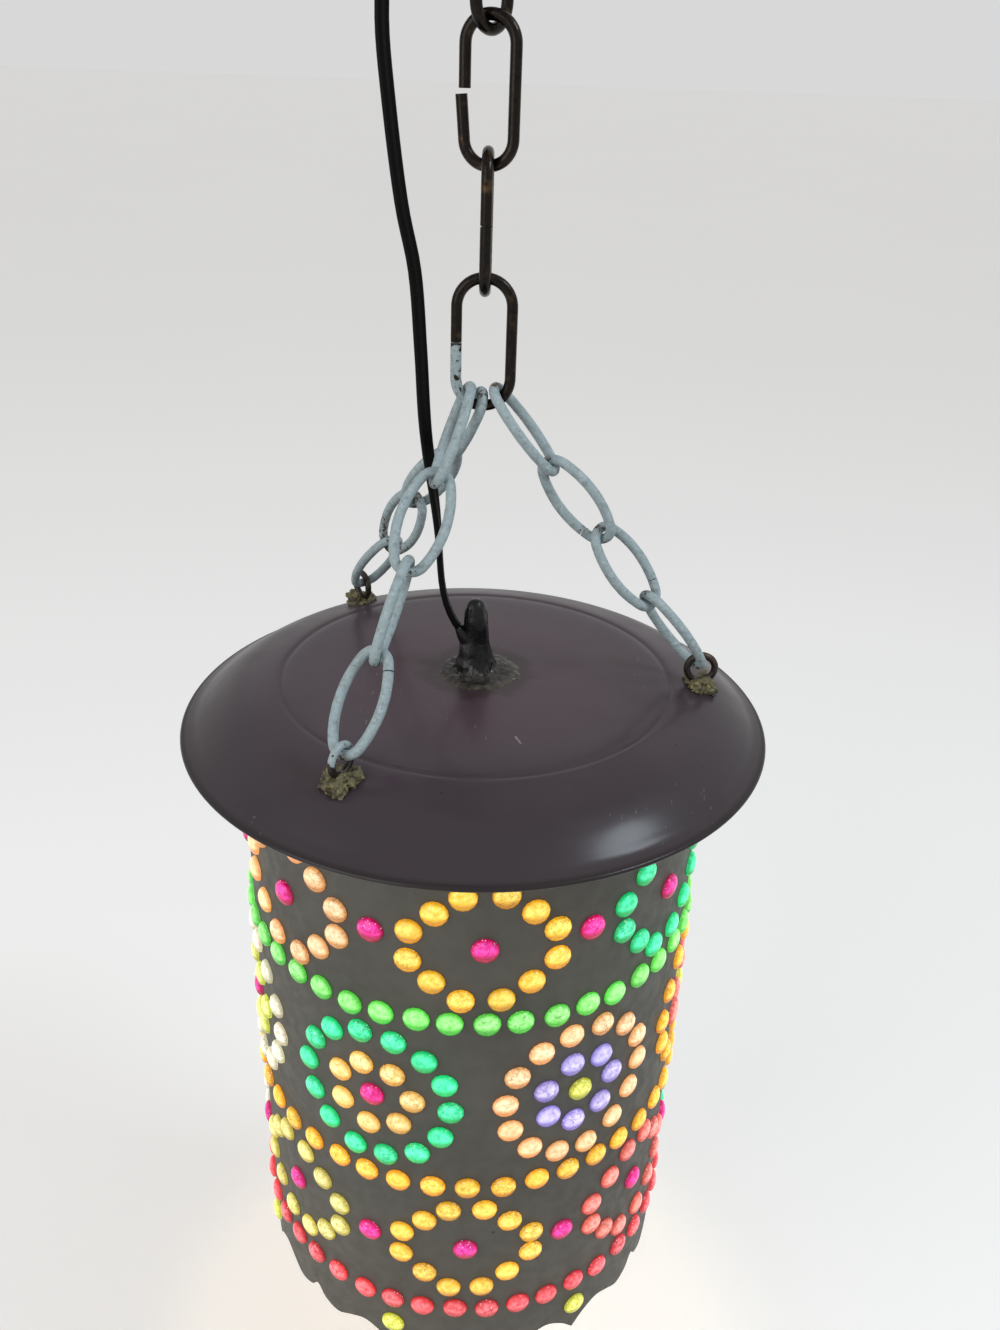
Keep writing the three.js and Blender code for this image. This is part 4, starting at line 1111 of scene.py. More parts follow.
def winding_at(turns):
    """How far out and how far along X the coil is after some turns, in millimetres."""
    period = COIL_LAYER_TURNS + COIL_CLIMB_TURNS
    layer = min(int(turns / period), COIL_LAYERS - 1)
    within = turns - layer * period
    outward = 1 if layer % 2 else -1
    inner = COIL_OUTER_RADIUS - COIL_LAYER_TURNS * COIL_RADIAL_STEP
    start = inner if outward > 0 else COIL_OUTER_RADIUS
    if within <= COIL_LAYER_TURNS or layer == COIL_LAYERS - 1:
        return start + outward * within * COIL_RADIAL_STEP, layer * COIL_LAYER_STEP
    climb = (within - COIL_LAYER_TURNS) / COIL_CLIMB_TURNS
    past = min(climb, 1 - climb) * COIL_CLIMB_TURNS * COIL_RADIAL_STEP + COIL_DIP * math.sin(math.pi * climb)
    radius = start + outward * (COIL_LAYER_TURNS * COIL_RADIAL_STEP + past)
    return radius, (layer + climb * climb * (3 - 2 * climb)) * COIL_LAYER_STEP


def coil_point(turns):
    radius, across = winding_at(turns)
    x, y, z = COIL_CENTRE
    angle = math.radians(COIL_START) + 2 * math.pi * turns
    first = x - (COIL_LAYERS - 1) * COIL_LAYER_STEP / 2
    return over_rim(first + across, y - radius * math.cos(angle), z + radius * math.sin(angle))


def coil_heading(turns):
    angle = math.radians(COIL_START) + 2 * math.pi * turns
    return Vector((0, math.sin(angle), math.cos(angle)))


def cord_line():
    """The cord's middle line from inside the boot, up, round the coil and on to the plug."""
    count = round(COIL_TURNS * COIL_STEPS)
    coil = [coil_point(i / COIL_STEPS) for i in range(count + 1)]
    run = settings("cord").width
    into = coil[0] - coil_heading(0) * run
    out = coil[-1] + coil_heading(COIL_TURNS) * run
    free = flowing([*(over_rim(*p) for p in CORD_ROUTE), into - coil_heading(0) * COIL_RUN, into], 10)
    tail = [out, out + coil_heading(COIL_TURNS) * COIL_RUN]
    tail = flowing([*tail, PLUG_REAR + mm(0, -4, -0.6), PLUG_REAR + mm(0, 1.5, 0)], 8)
    return evenly(free, 5 * MM) + coil + evenly(tail, 4 * MM)


def cord_section(width, thickness, per_lobe=9):
    """Two round conductors side by side with a groove between."""
    radius, out = thickness / 2, (width - thickness) / 2
    points = []
    for side, start in ((1, -130), (-1, 50)):
        for i in range(per_lobe):
            angle = math.radians(start + 260 * i / (per_lobe - 1))
            points.append((side * out + radius * math.cos(angle), radius * math.sin(angle)))
    return points


def swept(line, outline, across_at):
    """Points and faces of a flat section along a line; across_at gives its width's direction at a point."""
    rings = []
    for i, at in enumerate(line):
        along = (line[min(i + 1, len(line) - 1)] - line[max(i - 1, 0)]).normalized()
        across = across_at(at)
        across = (across - along * across.dot(along)).normalized()
        through = along.cross(across)
        rings.append([at + across * a + through * b for a, b in outline])
    return loft(rings)


def cord_across(at):
    turn = math.pi / 2 * (1 - smoothstep((at.z - RIM) / MM, *CORD_TWIST))
    return Vector((math.cos(turn), math.sin(turn), 0))


class SWAG_OT_cord(bpy.types.Operator):
    """Run the flat cord from the boot up to its coil and on to the plug, with the plug and the tie"""

    bl_idname = "swag_lamp.cord"
    bl_label = "Cord, plug and tie"

    def execute(self, context):
        sizes = settings("cord")
        line = cord_line()
        outline = cord_section(sizes.width, sizes.thickness)
        mesh = mesh_of("flat_cord", *swept(line, outline, cord_across))
        cord = show("flat_cord", mesh, "vinyl", 60)
        stand_for(cord, "black_vinyl", "cord", "cord_coil", "cord_tail")
        plug = self.plug()
        tie = self.tie()
        lead_line = [over_rim(0, 0, z) for z in LEAD_HEIGHTS]
        lead = swept(lead_line, cord_section(*LEAD_SIZE), lambda at: Vector((0, 1, 0)))
        lead = show("socket_lead", mesh_of("socket_lead", *lead), "vinyl", 60)
        stand_for(lead, "black_vinyl", "cord_lead")
        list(self.blades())
        return {"FINISHED"}

    def plug(self):
        """A moulded plug: rounded sections that swell from the cord to the face, with finger grooves."""
        growth = curved([(0, 0.36), (0.1, 0.46), (0.24, 0.68), (0.45, 0.93), (0.8, 1), (0.97, 0.98)], 6)
        rings = []
        for part, size in [*growth, (1, 0.93)]:
            dips = [math.exp(-(((part - place) / 0.025) ** 2)) for place in (0.5, 0.6, 0.7)]
            groove = 1 - 0.05 * sum(dips)
            half_width = size * groove * PLUG_WIDTH / 2
            half_thick = min(1, size + 0.2) * PLUG_THICKNESS / 2 * groove * (0.96 if part == 1 else 1)
            outline = rounded_box(half_width, half_thick, 28, 0.55, 0.55)
            rings.append([PLUG_REAR + mm(a, part * PLUG_LENGTH, b) for a, b in outline])
        piece = show("plug", mesh_of("plug", *loft(rings)), "vinyl", 50)
        return stand_for(piece, "black_rubber", "plug_body")

    def blades(self):
        """Two brass blades with rounded tips and a round hole near each tip."""
        pieces = []
        for side in ("left", "right"):
            low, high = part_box("plug_blade_" + side)
            middle, half = (low + high) / 2, (high - low) / 2
            taper = ((2.2, 1), (0.8, 0.8), (0, 0.5))
            edge = [(low.y, -half.z)] + [(high.y - back * MM, -half.z * share) for back, share in taper]
            edge += [(y, -b) for y, b in reversed(edge)]
            hole = [(high.y + (1.5 * math.cos(a) - 4.6) * MM, 1.5 * MM * math.sin(a)) for a in once_round(16)]
            flat = bpy.data.curves.new("blade_" + side, "CURVE")
            flat.dimensions = "2D"
            flat.fill_mode = "BOTH"
            flat.extrude = half.x
            for outline in (edge, hole):
                add_line(flat, [(y, b, 0) for y, b in outline], True)
            source = linked("blade_" + side, flat)
            ready = source.evaluated_get(bpy.context.evaluated_depsgraph_get())
            mesh = bpy.data.meshes.new_from_object(ready)
            bpy.data.objects.remove(source)
            bpy.data.curves.remove(flat)
            mesh.transform(Matrix(((0, 0, 1, middle.x), (1, 0, 0, 0), (0, 1, 0, middle.z), (0, 0, 0, 1))))
            name = "plug_blade_" + side
            pieces.append(stand_for(show(name + "_brass", cleaned(mesh), "brass", 30), "brass", name))
        return pieces

    def tie(self):
        """A woven strap round the coil's front bundle and one bar of a link, its end lapped over itself."""
        low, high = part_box("coil_tie")
        middle, half_width = (low.z + high.z) / 2, (high.z - low.z) / 2
        outline = self.strap_outline(low, high)
        around = []
        for i, p in enumerate(outline):
            along = (outline[(i + 1) % len(outline)] - outline[i - 1]).normalized()
            around.append((Vector((p.x, p.y, middle)), Vector((along.y, -along.x, 0))))
        section = rounded_box(STRAP / 2, half_width, 20, 0.5, 0.35)
        rings = [[at + out * a + Vector((0, 0, b)) for a, b in section] for at, out in around]
        lap = []
        count = len(around)
        for i in range(count // 4):
            at, out = around[(i + count // 3) % count]
            lift = STRAP * (1.05 + 0.5 * smoothstep(i, count // 4 - 5, count // 4))
            lap.append([at + out * (a * 0.9 + lift) + Vector((0, 0, b * 0.94)) for a, b in section])
        mesh = mesh_of("strap_tie", *joined(loft(rings, round_again=True), loft(lap)))
        return stand_for(show("strap_tie", mesh, "strap", 60), "tie_fabric", "coil_tie")

    def strap_outline(self, low, high):
        """The strap's middle line from above: a loop round the bundle, with a nose round the link's bar."""
        clear, bend = STRAP / 2, 2.65 * MM
        turn = math.radians(180 + CHAIN_TWISTS[2])
        bar = mm(math.cos(turn), math.sin(turn), 0) * (CHAIN_WIDTH - CHAIN_WIRE) / 2
        hull = disc(bar.x, bar.y, (CHAIN_WIRE / 2 + 0.3) * MM + clear)
        left, back = low.x + clear, high.y - clear
        points = NODES["coil_tie"].data.vertices
        right = max(v.co.x for v in points if v.co.y > back - 6 * MM) - clear
        front = min(v.co.y for v in points if v.co.x < left + 6 * MM) + clear
        for x in (left + bend, right - bend):
            for y in (front + bend, back - bend):
                hull += disc(x, y, bend)
        return evenly(closed_hull(hull), 1.2 * MM)[:-1]


def disc(x, y, radius):
    """Points round a flat circle."""
    return [Vector((x + radius * math.cos(a), y + radius * math.sin(a), 0)) for a in once_round(24)]


def closed_hull(points):
    """The convex outline round flat points, counter-clockwise and back to its start."""
    points = sorted({(round(p.x, 7), round(p.y, 7)) for p in points})

    def leftward(a, b, c):
        return (b[0] - a[0]) * (c[1] - a[1]) - (b[1] - a[1]) * (c[0] - a[0])

    def half(order):
        chain = []
        for p in order:
            while len(chain) > 1 and leftward(chain[-2], chain[-1], p) <= 0:
                chain.pop()
            chain.append(p)
        return chain[:-1]

    ring = half(points) + half(points[::-1])
    return [Vector((x, y, 0)) for x, y in ring + ring[:1]]


# The hook and the chains

CHAIN_LENGTH = 52.4
CHAIN_WIDTH = 22.4
CHAIN_WIRE = 4.3
BRIDLE_WIDTH = 25.4
LINK_GAP = 0.45
SPRUNG_LINK = 5
BRIDLE_ABOVE_RIM = 162.6
CHAIN_PITCH = CHAIN_LENGTH - 2 * CHAIN_WIRE - LINK_GAP
HOOK_PLATE = [
    (6.4, -9.5),
    (6.8, -7.4),
    (7.4, -5.6),
    (9, -4.6),
    (12, -3.9),
    (14.6, -3.5),
    (16.2, -2.9),
    (16.9, -1.8),
    (17, 0),
]
HOOK_EYE = -31.75  # height of the middle of the hook's bow


def long_link(length, width, wire, joint, spread):
    """The middle line of a long link in a flat plane, from one side of its joint round to the other."""
    radius = (width - wire) / 2
    straight = length / 2 - wire / 2 - radius
    line = [(-radius, joint / 2), *bow(0, straight, radius, 180, 0, 24)]
    line += bow(0, -straight, radius, 0, -180, 24)
    return [*line, (-radius - spread, -joint / 2)]


def oval_link(length, width, wire, end_radius):
    """The middle line of an oval link in a flat plane: small bows at its ends, large ones along its sides."""
    half_length, half_width = (length - wire) / 2, (width - wire) / 2
    reach = half_length - end_radius
    side = (end_radius**2 - half_width**2 - reach**2) / (2 * (end_radius - half_width))
    tangent = math.degrees(math.atan2(reach, side - half_width))
    inner = side - half_width
    line = bow(inner, 0, side, 180, 180 - tangent, 10)
    line += bow(0, reach, end_radius, 180 - tangent, tangent, 18)[1:]
    line += bow(-inner, 0, side, tangent, -tangent, 20)[1:]
    line += bow(0, -reach, end_radius, -tangent, tangent - 180, 18)[1:]
    return line + bow(inner, 0, side, tangent - 180, -180, 10)[1:]


def placed(line, place):
    return [place @ mm(x, 0, z) for x, z in line]


class SWAG_OT_hook(bpy.types.Operator):
    """Make the ceiling hook: a plate, a boss, two screws and the bent wire"""

    bl_idname = "swag_lamp.hook"
    bl_label = "Ceiling hook"

    def execute(self, context):
        profile = [(0, -9.5), (5.2, -9.5), *curved(HOOK_PLATE, 4), (0, 0)]
        body = mesh_of("hook_body", *turned(profile, 64, height=0))
        line = [(0, -7.5), (0, -9.5), *bow(6, HOOK_EYE + 19, 6, 180, 250, 10)]
        line += bow(0, HOOK_EYE, 13, 62, -200, 44)
        path = [mm(0, x, z) for x, z in line]
        wire = wire_mesh("hook_wire", [path], 5.5 * MM, "bronze")
        tip = path[-1] + (path[-1] - path[-2]).normalized() * 0.2 * MM
        ball = mesh_of("hook_tip", *sphere_at(tip, 2.7 * MM))
        screws = [mesh_of("screw", *self.screw_head(x)) for x in (11.75, -11.75)]
        hook = show("ceiling_hook", merged("ceiling_hook", [body, wire, ball, *screws]), "bronze", 35)
        stand_for(hook, "dark_bronze", "swag_hook")
        return {"FINISHED"}

    def screw_head(self, x):
        """A domed screw head with a driver's slot."""
        rings = []
        for r, z in ((3.4, -3.7), (3.2, -4.5), (2.4, -5.1), (1.2, -5.35), (0.3, -5.4)):
            ring = []
            for angle in once_round(20):
                dip = 0.7 if abs(r * math.sin(angle)) < 0.45 and r < 3.3 else 0
                ring.append(mm(x + r * math.cos(angle), r * math.sin(angle), z + dip))
            rings.append(ring)
        return loft(rings)


def sphere_at(middle, radius, segments=16):
    rings = []
    for angle in once_round(segments)[1 : segments // 2]:
        height, r = math.cos(angle) * radius, math.sin(angle) * radius
        turns = once_round(segments)
        rings.append([middle + Vector((r * math.cos(a), r * math.sin(a), height)) for a in turns])
    return loft(rings)


def merged(name, meshes):
    """One mesh of several."""
    shell = bmesh.new()
    for mesh in meshes:
        shell.from_mesh(mesh)
        bpy.data.meshes.remove(mesh)
    whole = bpy.data.meshes.new(name)
    shell.to_mesh(whole)
    shell.free()
    return whole


class SWAG_OT_chain(bpy.types.Operator):
    """Bend the seven long links of the dark chain"""

    bl_idname = "swag_lamp.chain"
    bl_label = "Dark chain"

    def execute(self, context):
        bridle = RIM / MM + BRIDLE_ABOVE_RIM
        lowest = len(CHAIN_TWISTS)
        for number, twist in enumerate(CHAIN_TWISTS, 1):
            height = bridle + (lowest - number) * CHAIN_PITCH
            width = BRIDLE_WIDTH if number == lowest else CHAIN_WIDTH
            joint, spread = (1.8, 1.2) if number == SPRUNG_LINK else (0.5, 0)
            line = long_link(CHAIN_LENGTH, width, CHAIN_WIRE, joint, spread)
            place = Matrix.Translation(mm(0, 0, height)) @ Matrix.Rotation(math.radians(twist), 4, "Z")
            name = "chain_link_" + str(number)
            mesh = wire_mesh(name + "_wire", [placed(line, place)], CHAIN_WIRE * MM, "bronze")
            share = 0.62 if number == lowest else 0
            paint_attribute(mesh, "paint", lambda co: self.old_paint(co, height) * share)
            stand_for(show(name + "_wire", mesh, "bronze", 45), "dark_bronze", name)
        return {"FINISHED"}

    def old_paint(self, co, height):
        """Old paint is left low on the left side of the lowest link."""
        return smoothstep(co.z / MM - height, 4, -3) * smoothstep(co.x / MM, -3, -8)


# Each leg's name, its eye's angle on the cap, its place in the shared link's bow and its links' twists,
# all in degrees
LEGS = [
    ("right", 0, 50, (80, -28, 46, -60)),
    ("rear", 127, 2, (-30, 80, 10, 92)),
    ("front", -119, -52, (44, 114, 22, 92)),
]
LEG_WIDTH = 22.5
LEG_END_RADIUS = 6.3
LEG_WIRE = 4.1
EYE_CIRCLE = 97.5
EYE_WIRE = 3
EYE_RING = 6
EYE_HEIGHT = 26.7
EYE_PAINT = {"front": 0.75, "right": 0.2, "rear": 0.25}
JOINT_AT = {"leg_right_link_2": 0.86, "leg_right_link_3": 0.64, "leg_front_link_4": 0.36}
RUBBED = {"leg_rear_link_3": 0.34, "leg_rear_link_2": 0.1, "leg_right_link_4": 0.14}


class SWAG_OT_legs(bpy.types.Operator):
    """Bend and paint the twelve oval links of the three legs"""

    bl_idname = "swag_lamp.legs"
    bl_label = "Painted chains"

    def execute(self, context):
        bridle_bow = (BRIDLE_WIDTH - CHAIN_WIRE) / 2
        bow_height = RIM / MM + BRIDLE_ABOVE_RIM - CHAIN_LENGTH / 2 + CHAIN_WIRE / 2 + bridle_bow
        on_wire = (CHAIN_WIRE + LEG_WIRE) / 2 + LINK_GAP
        in_eye = EYE_RING - (EYE_WIRE + LEG_WIRE) / 2 - LINK_GAP
        for name, azimuth, seat, twists in LEGS:
            turn, seat = math.radians(azimuth), math.radians(seat)
            wire = Vector((bridle_bow * math.sin(seat), 0, bow_height - bridle_bow * math.cos(seat)))
            eye = Vector((EYE_CIRCLE * math.cos(turn), EYE_CIRCLE * math.sin(turn), RIM / MM + EYE_HEIGHT))
            along_wire = Vector((math.cos(seat), 0, math.sin(seat)))
            pull = eye - wire
            pull = (pull - along_wire * pull.dot(along_wire)).normalized()
            top = wire - pull * on_wire
            run = (eye - top).length - in_eye
            down = (eye - top).normalized()
            count = len(twists)
            length = (run + (2 * count - 1) * LEG_WIRE + (count - 1) * LINK_GAP) / count
            pitch = length - 2 * LEG_WIRE - LINK_GAP
            side = Vector((-math.sin(turn), math.cos(turn), 0))
            side = (side - down * side.dot(down)).normalized()
            over = down.cross(side)
            for i, twist in enumerate(twists):
                angle = math.radians(twist)
                width = over * math.cos(angle) + side * math.sin(angle)
                along = -down
                centre = top + down * (i * pitch + (length - LEG_WIRE) / 2)
                place = Matrix((width, along.cross(width), along)).transposed().to_4x4()
                place.translation = centre * MM
                self.link("leg_" + name + "_link_" + str(i + 1), place, length)
        return {"FINISHED"}

    def link(self, name, place, length):
        """A painted link, rubbed bare inside its bows. Some show the joint, at a share of the way round."""
        joint_at = JOINT_AT.get(name)
        line = placed(oval_link(length, LEG_WIDTH, LEG_WIRE, LEG_END_RADIUS), place)
        line = evenly(line[:-1] + line[:1], 0.5 * MM)
        if joint_at is not None:
            cut = round(joint_at * (len(line) - 1))
            line = line[cut:-1] + line[:cut]
        mesh = wire_mesh(name + "_wire", [line], LEG_WIRE * MM, "painted", settings("chain").lumps)
        back = place.inverted()
        half = length / 2 * MM
        rubbed = RUBBED.get(name, 0)

        def bare(co):
            local = back @ co
            inside = 1 - smoothstep(abs(local.x), 0, LEG_END_RADIUS * 0.9 * MM)
            at_end = smoothstep(abs(local.z), half * 0.78, half * 0.9) * inside
            low = rubbed * smoothstep(local.z, half * 0.3, -half * 0.6)
            cut_end = 0 if joint_at is None else 1 - smoothstep((co - line[0]).length, 2.2 * MM, 3.6 * MM)
            return 0.42 * at_end + low + 0.2 * cut_end

        paint_attribute(mesh, "bare", bare)
        stand_for(show(name + "_wire", mesh, "painted", 50), "pale_paint", name)


class SWAG_OT_eyes(bpy.types.Operator):
    """Bend the three wire eyes and press the epoxy round them"""

    bl_idname = "swag_lamp.eyes"
    bl_label = "Eyes and epoxy"

    def execute(self, context):
        top = RIM + EYE_HEIGHT * MM
        for number, (name, azimuth, _, _) in enumerate(LEGS):
            turn = Matrix.Rotation(math.radians(azimuth), 4, "Z")
            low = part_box("eye_" + name)[0].z
            circle = bow(EYE_CIRCLE, EYE_HEIGHT, EYE_RING, -90, 270, 40)
            ring = [turn @ over_rim(x, 0, z) for x, z in circle]
            ring[-1] = ring[0].copy()
            foot = turn @ over_rim(EYE_CIRCLE, 0, 0)
            shank = [Vector((foot.x, foot.y, low)), turn @ over_rim(EYE_CIRCLE, 0, EYE_HEIGHT - EYE_RING)]
            wire = "eye_" + name + "_wire"
            mesh = wire_mesh(wire, [ring, shank], EYE_WIRE * MM, "eye", 0.12 * MM, 0.7 * MM)
            share = EYE_PAINT[name]
            paint_attribute(mesh, "paint", lambda co: share * smoothstep(co.z - top, -2 * MM, 3 * MM))
            stand_for(show(wire, mesh, "eye", 50), "eye_wire", "eye_" + name)
            self.epoxy(name, azimuth, number)
            finish_node("eye_" + name + "_nut", "zinc")
        return {"FINISHED"}

    def epoxy(self, name, azimuth, number):
        """A hand-pressed lump, dented by noise and flat where it meets the cap."""
        shell = bmesh.new()
        bmesh.ops.create_icosphere(shell, subdivisions=5, radius=1)
        turn = math.radians(azimuth)
        middle = over_rim(EYE_CIRCLE * math.cos(turn), EYE_CIRCLE * math.sin(turn), cap_height(EYE_CIRCLE))
        drift = Vector((math.cos(number * 2), math.sin(number * 2), 0)) * 0.6
        offset = Vector((number * 9.3, 4.1, 2.7))
        for v in shell.verts:
            p = v.co.copy()
            dent = noise.fractal(p * 1.6 + offset, 0.6, 2.2, 4) * 0.34
            facet = noise.cell(p * 1.7 + offset) * 0.16
            size = 1 + dent + facet
            spread = 7.0 + 1.3 * max(0, -p.z)
            at = middle + (Vector((p.x * spread, p.y * spread * 1.05, p.z * 4.9)) * size + drift) * MM
            ground = RIM + (cap_height(math.hypot(at.x, at.y) / MM) - 0.25) * MM
            at.z = max(at.z, ground)
            v.co = at
        mesh = bpy.data.meshes.new("epoxy_" + name)
        shell.to_mesh(mesh)
        shell.free()
        stand_for(show("epoxy_" + name, mesh, "epoxy", 75), "epoxy", "eye_" + name + "_epoxy")


# The cap, and the boot and sealant on it

CAP_FACE = [
    (5.35, 21.4),
    (30, 21.35),
    (64, 21),
    (81.5, 20.4),
    (84, 19.8),
    (86.5, 20),
    (97, 17.6),
    (105, 15),
    (112, 11),
    (117.6, 6.8),
    (121.5, 3.6),
    (125.3, 1.7),
]
CAP_LIP = [(125.3, 1.7), (126.4, 1.4), (127, 0.4), (126.3, -0.6), (125.2, -0.5), (124.7, 0.4)]
CAP_TOP = 21.4


def cap_height(radius):
    """The cap's outer face above its rim, at a radius, in millimetres."""
    for (r0, h0), (r1, h1) in zip([(0, CAP_TOP), *CAP_FACE], CAP_FACE):
        if radius <= r1:
            return h0 + (h1 - h0) * (radius - r0) / (r1 - r0)
    return CAP_FACE[-1][1]


class SWAG_OT_cap(bpy.types.Operator):
    """Spin the dish cap with its ring line, shoulder and rolled lip"""

    bl_idname = "swag_lamp.cap"
    bl_label = "Cap"

    def execute(self, context):
        face = flowing([(r, h, 0) for r, h in CAP_FACE], 6)
        under = []
        for i, p in enumerate(face[:-3]):
            slope = (face[i + 1] - face[max(i - 1, 0)]).normalized()
            under.append((p.x + slope.y, p.y - slope.x))
        profile = [(r, h) for r, h, _ in face] + curved(CAP_LIP, 4)[1:] + under[::-1]
        cap = show("dish_cap", mesh_of("dish_cap", *turned(profile, 160, ring=True)), "enamel", 50)
        stand_for(cap, "cap_enamel", "cap")
        return {"FINISHED"}


BOOT_FACE = [
    (9.6, 0),
    (9, 1.6),
    (8.2, 3.8),
    (7.4, 6.4),
    (6.7, 9.4),
    (6, 12.4),
    (5.5, 15.6),
    (5.4, 20),
    (5.2, 24.5),
    (4.7, 28),
    (4, 31),
    (2.7, 33.1),
    (1.1, 33.9),
]


class SWAG_OT_entry(bpy.types.Operator):
    """Pull the rubber boot over the nipple, with the cord's entry in its side, and spread the sealant"""

    bl_idname = "swag_lamp.entry"
    bl_label = "Boot and sealant"

    def execute(self, context):
        rings = []
        for r, h in curved(BOOT_FACE, 4):
            ring = []
            for angle in once_round(48):
                out = Vector((math.cos(angle), math.sin(angle), 0))
                wrinkle = noise.fractal(Vector((out.x * 1.6, out.y * 1.6, h * 0.07)), 0.7, 2.1, 4) * 0.6
                swell = 1.3 * max(0, -out.x) ** 2 * math.exp(-(((h - 12.5) / 4) ** 2))
                collar = 0.7 * math.exp(-(((h - 5) / 1.8) ** 2)) * (0.5 + 0.5 * math.sin(angle * 2 + 1))
                radius = r + (wrinkle + swell + collar) * (1 - smoothstep(h, 30, BOOT_FACE[-1][1]))
                lean = -0.03 * max(0, h - 8)
                ring.append(over_rim(radius * out.x + lean, radius * out.y, CAP_TOP + 0.3 + h))
            rings.append(ring)
        boot = mesh_of("boot", *joined(loft(rings), self.sleeve()))
        stand_for(show("cord_entry_boot", boot, "rubber", 60), "black_rubber", "cord_boot")
        self.sealant()
        for node in ("nipple", "locknut_upper", "locknut_lower"):
            finish_node(node, "brass")
        finish_node("nipple_washer", "zinc")
        return {"FINISHED"}

    def sleeve(self):
        """The tapered lip of rubber round the cord where it leaves the boot."""
        line = evenly(flowing([over_rim(*p) for p in CORD_ROUTE[:4]], 8), 0.8 * MM)[1:11]
        across = Vector((0, 1, 0))
        rings = []
        for i, at in enumerate(line):
            along = (line[min(i + 1, len(line) - 1)] - line[max(i - 1, 0)]).normalized()
            thinner = (i / (len(line) - 1)) ** 1.5
            wide = across * (4.4 - 1.6 * thinner) * MM
            thick = along.cross(across) * (3.8 - 2.25 * thinner) * MM
            rings.append([at + wide * math.cos(a) + thick * math.sin(a) for a in once_round(24)])
        return loft(rings)

    def sealant(self):
        """A messy pad with an uneven edge, thicker towards the boot, and a thin run to the right."""
        steps = 14
        rings = []
        for k in range(steps + 1):
            part = k / steps
            ring = []
            for angle in once_round(96):
                out = Vector((math.cos(angle), math.sin(angle), 0))
                edge = 18.1 + 2.3 * noise.fractal(out * 1.7 + Vector((3.1, 0, 0)), 0.7, 2.1, 4)
                edge += 1.6 * math.exp(-(((angle + 0.35) % (2 * math.pi) / 0.12) ** 2))
                radius = 8 + (edge - 8) * part
                lump = noise.fractal(Vector((out.x * radius, out.y * radius, 0)) * 0.3, 0.7, 2.1, 4)
                height = (1 - part**2.2) * (1.7 + 1.1 * lump) + 3.2 * math.exp(-part * 9) * (1 + 0.6 * lump)
                top = CAP_TOP + max(0, height) + 0.02
                ring.append(over_rim(radius * out.x + 1.1 * part, radius * out.y, top))
            rings.append(ring)
        inner, outer = ([over_rim(p.x / MM, p.y / MM, CAP_TOP - 0.35) for p in rings[i]] for i in (0, -1))
        mesh = mesh_of("sealant", *loft([inner, *rings, outer], round_again=True))
        paint_attribute(mesh, "thin", lambda co: smoothstep(math.hypot(co.x, co.y), 10 * MM, 18 * MM))
        stand_for(show("sealant_puddle", mesh, "sealant", 60), "sealant", "sealant_pad")


# The shade

EDGE_PERIODS = 7
EDGE_TIP_ANGLE = -56
# Half a wave of the lower edge: how far along it, and how far below the rim
EDGE_SHAPE = [(0, 298), (0.08, 290.5), (0.165, 287), (0.25, 289.6), (0.35, 294), (0.44, 291.6), (0.5, 286)]
EDGE_SCALE = 40  # depths are divided by this while the wave is smoothed, to be as large as the shares
SHADE_TOP = 12.6
OUTER_BEND = 2.2
INNER_BEND = 1.4
INSERT_GAP = 0.25 * MM
FLANGE_REACH = 11
FLANGE_RISE = 1.9

# Dyes of the inserts
ORANGE, AMBER = srgb(250, 200, 60), srgb(250, 192, 46)
PEACH, CREAM, WHITE = srgb(248, 198, 138), srgb(252, 208, 116), srgb(232, 226, 200)
TEAL, GREEN, LIME = srgb(44, 226, 150), srgb(126, 230, 104), srgb(214, 216, 74)
MAGENTA, RED, SALMON = srgb(224, 18, 126), srgb(236, 74, 82), srgb(234, 118, 104)
LILAC, KHAKI, YELLOW_GREEN = srgb(180, 166, 228), srgb(226, 214, 112), srgb(226, 232, 112)
TOP_FLOWERS = [ORANGE, TEAL, PEACH, WHITE, LILAC, KHAKI, PEACH]
MIDDLE_FLOWERS = [
    (PEACH, LILAC, LIME),
    (AMBER, SALMON, LIME),
    (TEAL, KHAKI, MAGENTA),
    (PEACH, TEAL, MAGENTA),
    (AMBER, LILAC, LIME),
    (WHITE, YELLOW_GREEN, MAGENTA),
    (TEAL, CREAM, MAGENTA),
]
BOTTOM_FLOWERS = [ORANGE, SALMON, TEAL, LILAC, AMBER, WHITE, KHAKI]

# First angle, height above the rim, height of the single inserts between flowers, and dyes
OVAL_BANDS = ((4.4, -47.6, -45, TOP_FLOWERS), (2.4, -220.5, -219.5, BOTTOM_FLOWERS))
# First angle and height
ROUND_BAND = (30, -133.2)
TIPS = (34.1, -279.5)
# Count, height, first angle and dye of each row
ROWS = ((44, -85.5, -2.57, GREEN), (42, -180.3, 2.28, AMBER), (43, -261.9, -0.36, RED))


